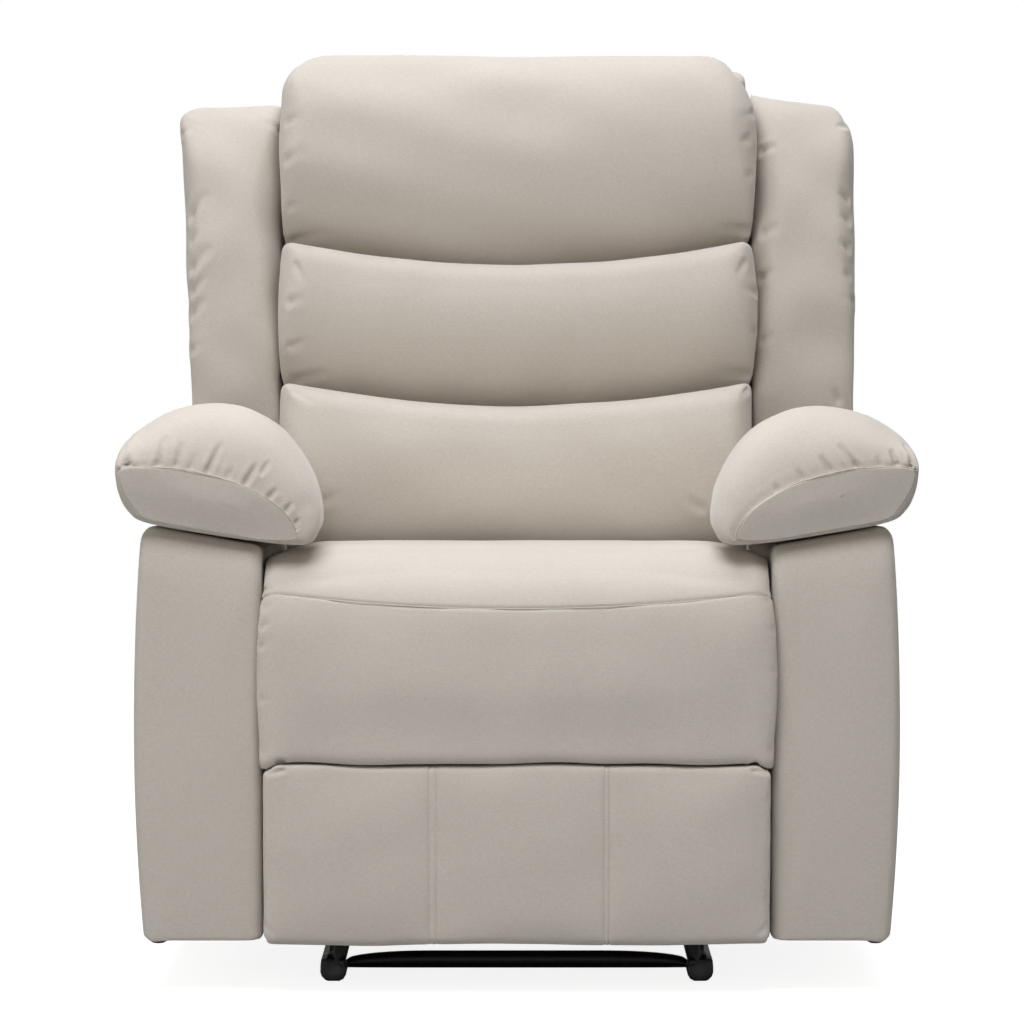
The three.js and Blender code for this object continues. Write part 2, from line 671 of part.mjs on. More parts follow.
// An angle bracket on the board's back, with a pin for the long link and one for the tie link.
function footBracket() {
  const face = footBoardRear + GAP;
  const bottom = FOOT_PIN_Z - FOOT_BOARD_MARGIN;
  const top = FOOT_TIE_Z + FOOT_BOARD_MARGIN;
  const shape = new THREE.Shape();
  shape.moveTo(face, bottom);
  shape.lineTo(footPin.x, footPin.y - LINK_RADIUS);
  shape.lineTo(footTie.x, footTie.y - LINK_RADIUS);
  shape.absarc(footTie.x, footTie.y, LINK_RADIUS, -Math.PI / 2, Math.PI / 2, false);
  shape.lineTo(face, top);
  shape.closePath();
  const outer = GUIDE_LAYER + PLATE;
  const flange = block(GUIDE_LAYER, GUIDE_LAYER + FOOT_FLANGE, face, face + PLATE, bottom, top);
  const longPin = crossPin(footPin, LONG_LAYER - LAYER_GAP / 2, outer);
  const tiePin = crossPin(footTie, GUIDE_LAYER, TIE_LAYER + PLATE + LAYER_GAP / 2);
  return unite(sidePlate(shape, GUIDE_LAYER), flange, longPin, tiePin);
}

function addFootrest() {
  const driveShape = linkShape(footDrive, footElbow, TORQUE_TUBE_RADIUS + PLATE);
  const ear = sidePlate(linkShape(footElbow, tieElbow), DRIVE_LAYER);
  const elbowPin = crossPin(footElbow, DRIVE_LAYER, LONG_LAYER + PLATE + LAYER_GAP / 2);
  const tiePin = crossPin(tieElbow, DRIVE_LAYER, TIE_LAYER + PLATE + LAYER_GAP / 2);
  addPair("foot_drive_link", unite(sidePlate(driveShape, DRIVE_LAYER), ear, elbowPin, tiePin), steel);
  const reach = DRIVE_LAYER - GAP;
  add("torque_tube", crossPin(footDrive, -reach, reach, TORQUE_TUBE_RADIUS), steel);

  const longShape = linkShape(footElbow, footPin);
  const looseHole = hole(guideEnd, PIN_RADIUS + GUIDE_PLAY);
  const loosePatch = new THREE.Shape().absarc(guideEnd.x, guideEnd.y, LUG_RADIUS, 0, 2 * Math.PI, false);
  const neck = linkShape(guideEnd, at(guideEnd.x, footElbow.y), LINK_RADIUS);
  const cutters = [pinHole(footElbow), pinHole(footPin), looseHole].map((path) =>
    sidePlate(new THREE.Shape(path.getPoints(SIDES / 2)), LONG_LAYER - OVERRUN, PLATE + 2 * OVERRUN),
  );
  const longBody = [longShape, loosePatch, neck].map((shape) => sidePlate(shape, LONG_LAYER));
  addPair("foot_long_link", carve(unite(...longBody), ...cutters), steel);

  const guideShape = linkShape(guideTop, guideEnd);
  const guidePin = crossPin(guideTop, SEAT_LAYER - LAYER_GAP / 2, GUIDE_LAYER + PLATE);
  const loosePin = crossPin(guideEnd, LONG_LAYER - LAYER_GAP / 2, GUIDE_LAYER + PLATE);
  addPair("foot_guide_link", unite(sidePlate(guideShape, GUIDE_LAYER), guidePin, loosePin), steel);

  const tieHole = hole(footTie, PIN_RADIUS + TIE_PLAY);
  addPair("foot_tie_link", plainLink(tieElbow, footTie, TIE_LAYER, tieHole), steel);
  addPair("foot_bracket", footBracket(), steel);
  add("foot_board", footBoard(), timber);
  add("foot_pad", footPad(), fabric);
}

// Arms: laminated frame, upholstered cover and pillow pad

// Height of the arm's sloping top, under the pad.
function armTop(x, y) {
  const across = (x - ARM_INNER_X) / ARM_WIDTH;
  const along = (y - ARM_FRONT_Y) / (ARM_REAR_Y - ARM_FRONT_Y);
  return ARM_TOP_INNER_Z + ARM_TOP_RISE * across - ARM_TOP_FALL * along;
}

function armFrame() {
  const x0 = ARM_INNER_X + ARM_FRAME_INSET;
  const x1 = x0 + ARM_FRAME_WIDTH;
  const y0 = ARM_FRONT_Y + ARM_FRAME_END_INSET;
  const y1 = ARM_REAR_Y - ARM_FRAME_END_INSET;
  return [x0, x1, y0, y1, ARM_BOTTOM_Z, ARM_FRAME_TOP_Z];
}

const armBolts = [ARM_BOLT_FRONT_Y, ARM_BOLT_REAR_Y].map((y) => at(y, ARM_BOLT_Z));

// A laminated timber frame with round lightening holes, and the bolts that fix it to the seat frame.
function armFrameSolid() {
  const [x0, x1, y0, y1, z0, z1] = armFrame();
  const holes = [1, 2, 3].map((i) => {
    const centre = at(y0 + ((y1 - y0) * i) / 4, (z0 + z1) / 2 - ARM_FRAME_HOLE);
    return crossPin(centre, x0 - OVERRUN, x1 + OVERRUN, ARM_FRAME_HOLE);
  });
  const bolts = armBolts.map((p) => crossPin(p, SEAT_RAIL_X + TIMBER + GAP, x0 + OVERRUN, ARM_BOLT_RADIUS));
  return unite(carve(block(x0, x1, y0, y1, z0, z1), ...holes), ...bolts);
}

// The arm's cross-section at y, drawn in by inset. Its outer side swells between its two ends.
function armRing(y, inset) {
  const r = ARM_ROUND;
  const inner = ARM_INNER_X + inset;
  const outer = ARM_OUTER_X - inset;
  const topX = outer - ARM_TOP_DRAW;
  const bottomX = outer - ARM_BOTTOM_DRAW;
  const foot = ARM_BOTTOM_Z;
  const top = (x) => armTop(x, y) - inset;
  const outline = [at(inner + GAP, foot), at(inner, foot + r / 4)];
  outline.push(at(inner, top(inner) - r / 4), at(inner + r / 4, top(inner + r / 4)));
  outline.push(at((inner + topX) / 2, top((inner + topX) / 2)), at(topX - r, top(topX - r)));
  outline.push(at(topX - r / 3, top(topX) - r / 3));
  for (let i = 4; i >= -4; i--) {
    const share = i / 4;
    const draw = share > 0 ? ARM_TOP_DRAW : ARM_BOTTOM_DRAW;
    const z = THREE.MathUtils.lerp(foot + r / 2, top(topX) - r, (share + 1) / 2);
    outline.push(at(outer - draw * share * share, z));
  }
  outline.push(at(bottomX - r / 2, foot));
  return outline.map((p) => new THREE.Vector3(p.x, y, p.y));
}

function armCover() {
  const r = ARM_ROUND;
  const ends = [0, 0.3, 0.65, 1]; // shares of the edge rounding
  const round = (share) => r * (1 - Math.sqrt(1 - (1 - share) ** 2));
  const front = ARM_FRONT_Y + ARM_FRONT_CROWN;
  const stations = ends.map((share) => [front + r * share, round(share)]);
  stations.push([ARM_FRONT_Y + ARM_WIDTH, 0], [0, 0]);
  stations.push(...ends.map((share) => [ARM_REAR_Y - r * share, round(share)]).reverse());
  const cover = loft(stations.map(([y, inset]) => armRing(y, inset)));
  const [x0, x1, y0, y1, z0, z1] = armFrame();
  const pocket = block(x0 - GAP, x1 + GAP, y0 - GAP, y1 + GAP, z0 - OVERRUN, z1 + GAP);
  const boltHoles = armBolts.map((p) =>
    crossPin(p, ARM_INNER_X - OVERRUN, x0 + OVERRUN, ARM_BOLT_RADIUS + GAP),
  );
  return carve(cover, pocket, ...boltHoles);
}

// The pad's front outline: shares of its width from the outer side, and of its height above the arm.
const PAD_OUTLINE_SHARES = [
  [0, 0.319],
  [0.024, 0.445],
  [0.08, 0.56],
  [0.15, 0.674],
  [0.25, 0.786],
  [0.37, 0.864],
  [0.49, 0.911],
  [0.61, 0.928],
  [0.71, 0.9],
  [0.81, 0.827],
  [0.895, 0.71],
  [0.95, 0.575],
  [0.985, 0.41],
  [1, 0.28],
  [0.98, 0.168],
  [0.93, 0.07],
  [0.82, 0],
  [0.48, 0],
  [0.13, 0],
  [0.057, 0.07],
  [0.01, 0.18],
];
const PAD_NOSE_SHARE = 0.56; // height of the front panel
const PAD_UNDER_SHARE = 0.12; // slope of the underside over the seat
const PAD_STATION_SHARES = [0, 0.03, 0.08, 0.16, 0.3, 0.5, 0.7, 0.8, 0.88, 0.95, 1];

// Underside of a pad: it lies on the arm, and rises a little where it hangs over the seat.
function padBase(x, y) {
  const over = Math.max(ARM_INNER_X - x, 0);
  return armTop(Math.max(x, ARM_INNER_X), y) + GAP + PAD_UNDER_SHARE * over;
}

function armPad() {
  const length = PAD_REAR_Y - PAD_FRONT_Y;
  const outer = ARM_OUTER_X + PAD_OVERHANG;
  const top = 1 / 0.928; // the outline's own crest is brought up to the pad's full height
  const rings = PAD_STATION_SHARES.map((station) => {
    const y = PAD_FRONT_Y + length * station;
    const nose = Math.min((y - PAD_FRONT_Y) / PAD_NOSE, 1);
    const tail = Math.max((y - PAD_REAR_Y + PAD_TAIL) / PAD_TAIL, 0);
    const rise = THREE.MathUtils.lerp(PAD_NOSE_SHARE, 1, Math.sqrt(1 - (1 - nose) ** 2));
    const edge = Math.min(nose * 4, 1);
    const pinch = 0.08 * (1 - Math.sqrt(1 - (1 - edge) ** 2));
    const droop = 1 - 0.35 * (1 - Math.sqrt(1 - tail ** 4));
    const drawn = (y - PAD_DRAW_FROM_Y) / (PAD_DRAW_TO_Y - PAD_DRAW_FROM_Y);
    const drawShare = THREE.MathUtils.clamp(drawn, 0, 1);
    const draw = PAD_TAIL_DRAW * (1 - Math.sqrt(1 - drawShare * drawShare));
    return PAD_OUTLINE_SHARES.map(([across, up]) => {
      const side = 0.5 + (across - 0.5) * (1 - 2 * pinch);
      const x = outer - PAD_WIDTH * side + draw * side;
      return new THREE.Vector3(x, y, padBase(x, y) + PAD_HEIGHT * up * top * rise * droop);
    });
  });
  return loft(rings);
}

function addArms() {
  addPair("arm_frame", armFrameSolid(), timber);
  addPair("arm_cover", armCover(), fabric);
  addPair("arm_pad", armPad(), fabric);
  const reach = ARM_INNER_X - GAP;
  const rearRail = block(
    -reach,
    reach,
    REAR_RAIL_Y,
    REAR_RAIL_Y + REAR_RAIL_THICKNESS,
    REAR_RAIL_BOTTOM_Z,
    REAR_RAIL_BOTTOM_Z + REAR_RAIL_HEIGHT,
  );
  add("rear_rail", rearRail, fabric);
}

// Release tab: a flat grip on a wire, in the gap between the seat and the left arm

function addRelease() {
  const outer = -(ARM_INNER_X - GAP);
  const middle = outer + TAB_THICKNESS / 2;
  const half = TAB_WIDTH / 2;
  const grip = block(
    outer,
    outer + TAB_THICKNESS,
    TAB_Y - half,
    TAB_Y + half,
    TAB_FOOT_Z,
    TAB_FOOT_Z + TAB_HEIGHT,
  );
  add("release_tab", grip, plastic);
  const rod = new THREE.CylinderGeometry(TAB_ROD_RADIUS, TAB_ROD_RADIUS, TAB_ROD_LENGTH, SIDES / 2);
  rod.rotateX(Math.PI / 2).translate(middle, TAB_Y, TAB_FOOT_Z - GAP - TAB_ROD_LENGTH / 2);
  add("release_rod", rod, steel);
}

// Back: everything below is drawn upright from the hinge, and the group leans it

// How far a cushion seam dips below its corners, at x.
const seamDip = (x) => BACK_SAG * (1 - Math.min(x / BACK_SIDE_X, 1) ** 2);

// A back cushion. Its front swells low and tucks in towards its upper seam, as stuffed channels do.
function backCushion({ foot, top, footDips, topDips, footX, corner }) {
  const depth = BACK_SHELL_FRONT - GAP + BACK_FRONT;
  return sculpted([12, 2, 8], (u, v, w) => {
    const share = (1 + ease(w)) / 2;
    const halfWidth = THREE.MathUtils.lerp(footX, BACK_SIDE_X, share);
    const half = new THREE.Vector3(halfWidth, depth / 2, (top - foot) / 2 - GAP);
    const radius = w > 0 ? corner : SHELL_ROUND;
    const point = roundedPoint(u, v, w, half, Math.min(radius, depth / 2));
    if (v > 0.99) point.y = half.y;
    const swell = 1.6 * share ** 0.45 * (1 - share) ** 0.6;
    if (v < 0) point.y -= BACK_CROWN * swell * (1 - u ** 4) * -v;
    const dip = seamDip(Math.abs(point.x));
    const dips = THREE.MathUtils.lerp(footDips ? dip : 0, topDips ? dip : 0, share);
    return point.add(new THREE.Vector3(0, half.y - BACK_FRONT, (top + foot) / 2 - dips));
  });
}

function wing() {
  const depth = BACK_SHELL_FRONT - GAP + WING_FRONT;
  const half = new THREE.Vector3(WING_WIDTH / 2, depth / 2, (WING_TOP - WING_FOOT) / 2);
  return sculpted([4, 3, 8], (u, v, w) => {
    const point = roundedPoint(u, v, w, half, ARM_ROUND);
    if (v > 0.99) point.y = half.y;
    const crown = v < 0 ? WING_CROWN * (1 - u * u) * (1 - w ** 4) : 0;
    const fall = w > 0 ? WING_TOP_FALL * w * (1 + u) * 0.5 : 0;
    const taper = (WING_TAPER * (1 - ease(w)) * (1 + u)) / 4;
    const middle = new THREE.Vector3(WING_X + half.x, half.y - WING_FRONT, (WING_TOP + WING_FOOT) / 2);
    return point.add(middle).sub(new THREE.Vector3(taper, crown, fall));
  });
}

// The outline of the outside back, drawn in by inset: narrow between the arms, wide at the wings.
function backOutline(inset) {
  const narrow = BASE_LAYER - SHELL_FOOT_GAP - inset;
  const waist = SEAT_SIDE_X - SHELL_WAIST_INSET - inset;
  const wide = WING_X + WING_WIDTH - SHELL_WING_INSET - inset;
  const head = BACK_SIDE_X - SHELL_HEAD_INSET - inset;
  const shoulder = SHELL_SHOULDER - inset;
  const top = SHELL_TOP - inset;
  const wingFoot = WING_FOOT + inset;
  const side = [
    at(narrow, SHELL_FOOT + inset),
    at(narrow, SHELL_STEP + inset),
    at(waist, SHELL_STEP + inset),
    at(waist, wingFoot),
    at(wide - WING_TAPER, wingFoot),
    at(wide, shoulder - HEAD_CORNER),
    at(wide - HEAD_CORNER / 3, shoulder - HEAD_CORNER / 3),
    at(wide - HEAD_CORNER, shoulder),
    at(head, shoulder),
    at(head - HEAD_CORNER / 2, top),
  ];
  const mirrored = side.map((p) => at(-p.x, p.y)).reverse();
  return new THREE.Shape([...side, ...mirrored]);
}

// An outline extruded backwards from a face at y.
function backSlab(outline, y, thickness, round = 0) {
  const geometry = new THREE.ExtrudeGeometry(outline, {
    depth: thickness - 2 * round,
    bevelEnabled: round > 0,
    bevelThickness: round,
    bevelSize: round,
    bevelOffset: -round,
    bevelSegments: 2,
  });
  return geometry.rotateX(Math.PI / 2).translate(0, y + thickness - round, 0);
}

function backShell() {
  const body = backSlab(backOutline(0), BACK_SHELL_FRONT, BACK_SHELL_DEPTH, SHELL_ROUND);
  const pocketOutline = backOutline(BACK_PANEL_INSET - GAP);
  const pocket = backSlab(pocketOutline, BACK_SHELL_FRONT - OVERRUN, BACK_PANEL + OVERRUN + 2 * GAP);
  return carve(body, pocket);
}

// The hinge bracket: a strip up the front of the panel, and an arm down to the drive link.
function backBracket() {
  const lean = radians(BACK_LEAN);
  const arm = at(
    DRIVE_ARM_Y * Math.cos(lean) - DRIVE_ARM_Z * Math.sin(lean),
    DRIVE_ARM_Y * Math.sin(lean) + DRIVE_ARM_Z * Math.cos(lean),
  );
  const hinge = at(0, 0);
  const face = BACK_SHELL_FRONT - GAP;
  const outer = DRIVE_LAYER + PLATE;
  const foot = BRACKET_FLANGE_FOOT;
  const strip = block(DRIVE_LAYER, outer, -BRACKET_FRONT, face, foot, BRACKET_TOP);
  const armPlate = sidePlate(linkShape(hinge, arm), DRIVE_LAYER);
  const neck = sidePlate(linkShape(hinge, at(0, foot), BRACKET_FRONT), DRIVE_LAYER);
  const flange = block(outer - BRACKET_FLANGE, outer, face - PLATE, face, foot, BRACKET_TOP);
  const pin = crossPin(arm, SWING_LAYER - LAYER_GAP / 2, outer);
  const holeRadius = PIN_RADIUS + PIN_PLAY;
  const hingeHole = crossPin(hinge, DRIVE_LAYER - OVERRUN, outer + OVERRUN, holeRadius);
  return carve(unite(strip, armPlate, neck, flange, pin), hingeHole);
}

function addBack() {
  const back = new THREE.Group();
  back.position.set(0, HINGE_Y, HINGE_Z);
  back.rotation.x = -radians(BACK_LEAN);
  model.add(back);
  addPair("back_bracket", backBracket(), steel, back);
  const panelFront = BACK_SHELL_FRONT + GAP;
  const panel = backSlab(backOutline(BACK_PANEL_INSET), panelFront, BACK_PANEL - GAP);
  add("back_panel", panel, timber, back);
  add("back_shell", backShell(), fabric, back);
  const low = backCushion({
    foot: LOW_CUSHION_FOOT,
    top: SEAM_LOW,
    footDips: false,
    topDips: true,
    footX: SEAT_SIDE_X - LOW_CUSHION_FOOT_INSET,
    corner: ARM_ROUND,
  });
  const middle = backCushion({
    foot: SEAM_LOW,
    top: SEAM_HIGH,
    footDips: true,
    topDips: true,
    footX: BACK_SIDE_X,
    corner: ARM_ROUND,
  });
  const head = backCushion({
    foot: SEAM_HIGH,
    top: HEAD_TOP,
    footDips: true,
    topDips: false,
    footX: BACK_SIDE_X,
    corner: HEAD_CORNER,
  });
  add("lumbar_cushion", low, fabric, back);
  add("shoulder_cushion", middle, fabric, back);
  add("head_cushion", head, fabric, back);
  addPair("wing", wing(), fabric, back);
}

addBase();
addSwing();
addSeatFrame();
add("seat_cushion", seatCushion(), fabric);
addFootrest();
addArms();
addRelease();
addBack();

export default model;
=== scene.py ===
# A reclining sofa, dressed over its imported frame: stuffed covers in woven cloth, and finished steelwork.
# Sizes are in millimetres until a mesh is made. "left" and "right" are as seen from the front.
import bpy
import json
import math
import numpy as np
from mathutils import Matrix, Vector
from mathutils.bvhtree import BVHTree


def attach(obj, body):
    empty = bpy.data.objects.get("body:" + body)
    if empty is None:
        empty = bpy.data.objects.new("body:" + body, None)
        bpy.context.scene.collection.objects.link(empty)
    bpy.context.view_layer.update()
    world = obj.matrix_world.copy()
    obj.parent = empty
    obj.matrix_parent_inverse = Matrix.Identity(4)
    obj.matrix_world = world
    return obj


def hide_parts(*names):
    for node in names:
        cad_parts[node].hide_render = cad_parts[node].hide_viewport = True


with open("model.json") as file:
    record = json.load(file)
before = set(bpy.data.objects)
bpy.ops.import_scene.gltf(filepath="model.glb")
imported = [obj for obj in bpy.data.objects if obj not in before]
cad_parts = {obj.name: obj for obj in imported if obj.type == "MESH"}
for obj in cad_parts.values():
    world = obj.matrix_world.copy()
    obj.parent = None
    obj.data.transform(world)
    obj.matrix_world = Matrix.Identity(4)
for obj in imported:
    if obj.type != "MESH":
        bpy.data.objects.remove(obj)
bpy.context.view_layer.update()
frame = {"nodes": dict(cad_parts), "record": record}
scene = bpy.context.scene

# Sizes repeated from the frame's source
SEAT_SIDE = 282
SEAT_FRONT = -455
SEAT_REAR = 78
SEAT_BOTTOM = 262
SEAT_DECK = 361
SEAT_CREST = 499
SEAT_REAR_CREST = 476
SEAT_NOSE = 78
SEAT_DROP = 63
ARM_INNER = 285
ARM_WIDTH = 144
ARM_FRONT = -434
ARM_REAR = 250
ARM_BOTTOM = 60
ARM_TOP = 502
HINGE_Y = 160
HINGE_Z = 330
LEAN = math.radians(16)
BACK_SIDE = 295
SEAM_LOW = 331
SEAM_HIGH = 515
HEAD_TOP = 767
BACK_SAG = 31
BACK_REST = 19.7
WING_X = 299
WING_WIDTH = 130
WING_FOOT = 207
WING_TOP = 712


# The camera, which also places the small folds that the photograph shows
LENS = 150.9
FILM = 36
PICTURE = 1024
CAMERA = (-5.5, -5200, 800)
TILT = math.radians(90 - 3.119)


# Mesh helpers

def oriented(points, faces):
    """The faces turned so that they look outwards."""
    a, b, c = (points[faces[:, k]] for k in (0, 1, 2))
    d = points[faces[:, -1]]
    volume = np.einsum("ij,ij->", a, np.cross(b, c)) + np.einsum("ij,ij->", a, np.cross(c, d))
    return faces if volume > 0 else faces[:, ::-1].copy()


def box_skin(nx, ny, nz):
    """A box's skin as points from -1 to 1, and quads."""
    index = {}
    counts = (nx, ny, nz)
    faces = []
    for axis in range(3):
        across, up = [k for k in range(3) if k != axis]
        for side in (0, counts[axis]):
            for i in range(counts[across]):
                for j in range(counts[up]):
                    quad = []
                    for di, dj in ((0, 0), (1, 0), (1, 1), (0, 1)):
                        key = [0, 0, 0]
                        key[axis], key[across], key[up] = side, i + di, j + dj
                        quad.append(index.setdefault(tuple(key), len(index)))
                    if (side > 0) == (axis == 1):
                        quad.reverse()
                    faces.append(quad)
    return 2 * np.array(list(index)) / counts - 1, np.array(faces)


def shrunk(ring, share):
    """A ring of points drawn towards its own middle."""
    middle = ring.mean(axis=0)
    return middle + (ring - middle) * share


def ring_skin(rings):
    """Quads through closed rings of points; the end rings are drawn shut on their own middles."""
    rings = np.array(rings)
    count = rings.shape[1]
    first = [shrunk(rings[0], share) for share in (0.02, 0.5)]
    rings = np.concatenate([first, rings, [shrunk(rings[-1], share) for share in (0.5, 0.02)]])
    faces = []
    for i in range(len(rings) - 1):
        for j in range(count):
            k = (j + 1) % count
            faces.append((i * count + j, i * count + k, (i + 1) * count + k, (i + 1) * count + j))
    points = rings.reshape(-1, 3)
    half = count // 2
    last = len(points) - count
    for j in range(half - 1):
        for base in (0, last):
            quad = (base + j, base + j + 1, base + count - 2 - j, base + count - 1 - j)
            faces.append(quad if base else quad[::-1])
    faces = np.array(faces)
    return points, oriented(points, faces)


def summed(places, values, count):
    """Rows of values added up at their places."""
    return np.stack([np.bincount(places, weights=column, minlength=count) for column in values.T], axis=1)


def vertex_normals(points, faces):
    across = points[faces[:, 2]] - points[faces[:, 0]]
    along = points[faces[:, 3]] - points[faces[:, 1]]
    normal = np.repeat(np.cross(across, along), 4, axis=0)
    total = summed(faces.ravel(), normal, len(points))
    length = np.linalg.norm(total, axis=1, keepdims=True)
    return total / np.maximum(length, 1e-9)


def read_mesh(mesh):
    points = np.empty(len(mesh.vertices) * 3)
    mesh.vertices.foreach_get("co", points)
    corners = np.empty(len(mesh.loops), dtype=np.int32)
    mesh.loops.foreach_get("vertex_index", corners)
    return points.reshape(-1, 3) * 1000, corners.reshape(-1, 4)


def placed(name, data):
    """A new object in the scene with the given data."""
    obj = bpy.data.objects.new(name, data)
    scene.collection.objects.link(obj)
    return obj


def mesh_object(name, points, faces):
    mesh = bpy.data.meshes.new(name)
    mesh.from_pydata((points / 1000).tolist(), [], faces.tolist())
    return placed(name, mesh)


def evaluated(obj):
    """The points and faces of a scratch object after its modifiers. The object goes."""
    result = read_mesh(obj.evaluated_get(bpy.context.evaluated_depsgraph_get()).to_mesh())
    mesh = obj.data
    bpy.data.objects.remove(obj)
    bpy.data.meshes.remove(mesh)
    return result


def smoothed(points, faces):
    """The skin after one Catmull-Clark subdivision."""
    obj = mesh_object("scratch", points, faces)
    obj.modifiers.new("round", "SUBSURF").levels = 1
    return evaluated(obj)


def averaged(values, faces, rounds, share=0.6):
    """Values at the vertices, drawn towards the mean of their neighbours, some rounds over."""
    here = faces.ravel()
    beside = np.roll(faces, -1, axis=1).ravel()
    number = np.maximum(np.bincount(here, minlength=len(values)), 1)[:, None]
    for _ in range(rounds):
        values = values * (1 - share) + summed(here, values[beside], len(values)) / number * share
    return values


def lumpy(points, faces, depth, length, seed):
    """The slow unevenness of a filled cover, on the sides that look forwards."""
    generator = np.random.default_rng(seed)
    total = np.zeros(len(points))
    waves = 12
    for _ in range(waves):
        direction = generator.normal(size=3)
        direction *= 2 * math.pi / (length * generator.uniform(0.7, 1.6)) / np.linalg.norm(direction)
        total += np.sin(points @ direction + generator.uniform(0, 2 * math.pi))
    normals = vertex_normals(points, faces)
    ahead = np.clip(0.3 - normals[:, 1], 0, 1)
    return points + normals * (depth * ahead * total / math.sqrt(waves / 2))[:, None]


STUFFING_FRAMES = 16


def stuffed(points, faces, held, pressure, cap, slack=0.0, even=4, share=1.0):
    """The cover after stuffing: cloth under pressure, held where the array says.

    No point moves past cap. even is how often the movement is evened out, and share how much of it stays.
    """
    obj = mesh_object("scratch", points, faces)
    group = obj.vertex_groups.new(name="held")
    for level in np.unique(np.round(held, 2)):
        if level > 0:
            group.add(np.flatnonzero(np.round(held, 2) == level).tolist(), float(level), "REPLACE")
    modifier = obj.modifiers.new("stuffing", "CLOTH")
    cloth = modifier.settings
    cloth.quality = 6
    cloth.mass = 0.2
    cloth.tension_stiffness = 18
    cloth.compression_stiffness = 18
    cloth.shear_stiffness = 9
    cloth.bending_stiffness = 6
    cloth.use_pressure = True
    cloth.uniform_pressure_force = pressure
    cloth.shrink_min = -slack
    cloth.vertex_group_mass = "held"
    cloth.effector_weights.gravity = 0
    modifier.collision_settings.use_collision = False
    modifier.point_cache.frame_start = 1
    modifier.point_cache.frame_end = STUFFING_FRAMES
    for number in range(1, STUFFING_FRAMES + 1):
        scene.frame_set(number)
    moved, _ = evaluated(obj)
    scene.frame_set(1)
    stays = np.where(held < 0.99, share, 0)[:, None]
    step = averaged(moved - points, faces, even) * stays
    length = np.linalg.norm(step, axis=1, keepdims=True)
    return points + step * np.minimum(1, cap / np.maximum(length, 1e-9))


def seen(points, faces, pixels):
    """Where the camera sees the given pixels of the picture on a skin."""
    surface = surface_of(points, faces)
    focal = LENS / FILM * PICTURE
    origin = Vector(CAMERA)
    rays = []
    for across, down in pixels:
        right = (across - PICTURE / 2) / focal
        up = -(down - PICTURE / 2) / focal
        ahead = up * math.cos(TILT) + math.sin(TILT)
        rays.append(Vector((right, ahead, up * math.sin(TILT) - math.cos(TILT))))
    places = [surface.ray_cast(origin, ray)[0] for ray in rays]
    # a pixel just outside the outline takes its depth from the one beside it
    depths = [place.y for place in places if place is not None] or [points[:, 1].mean()]
    for k, ray in enumerate(rays):
        if places[k] is None:
            places[k] = surface.find_nearest(origin + ray * (depths[0] - CAMERA[1]) / ray.y)[0]
    return [np.array(place) for place in places]


def folded(points, faces, folds, share=1.0):
    """Small folds pressed in by a share.

    Each is (across, down, across, down, depth, width), from one pixel of the picture to another.
    It is deepest where it starts, and fades out to its end.
    """
    for *pixels, depth, width in folds:
        start, end = seen(points, faces, [pixels[:2], pixels[2:]])
        offset = points - start
        direction = end - start
        along = np.clip(offset @ direction / (direction @ direction), 0, 1)
        off = np.linalg.norm(offset - along[:, None] * direction, axis=1) / width
        shape = np.exp(-off ** 2) - 0.22 * np.exp(-((off - 2.1) / 0.9) ** 2)
        fade = (1 - along) ** 0.65 * share
        points = points - vertex_normals(points, faces) * (depth * shape * fade)[:, None]
    return points


def leaned(points):
    """From the back's own upright place to where it leans."""
    x, y, z = points.T
    return np.stack([
        x,
        HINGE_Y + y * math.cos(LEAN) + z * math.sin(LEAN),
        HINGE_Z - y * math.sin(LEAN) + z * math.cos(LEAN),
    ], axis=1)


def ease(t):
    return np.sin(np.asarray(t) * math.pi / 2)


def rounded(u, v, w, half, radius):
    """Points of a round-edged box for points of its skin, with an edge radius for each."""
    point = ease(np.stack([u, v, w], axis=1)) * half
    radius = radius[:, None]
    inner = np.array(half) - radius
    core = np.clip(point, -inner, inner)
    out = point - core
    length = np.linalg.norm(out, axis=1, keepdims=True)
    return np.where(length > 0, core + out / np.maximum(length, 1e-9) * radius, core)


def quarter(share, power):
    """How far a rounded edge has fallen back, from 0 where it starts to 1 at its end."""
    return 1 - (1 - np.clip(share, 0, 1) ** power) ** (1 / power)


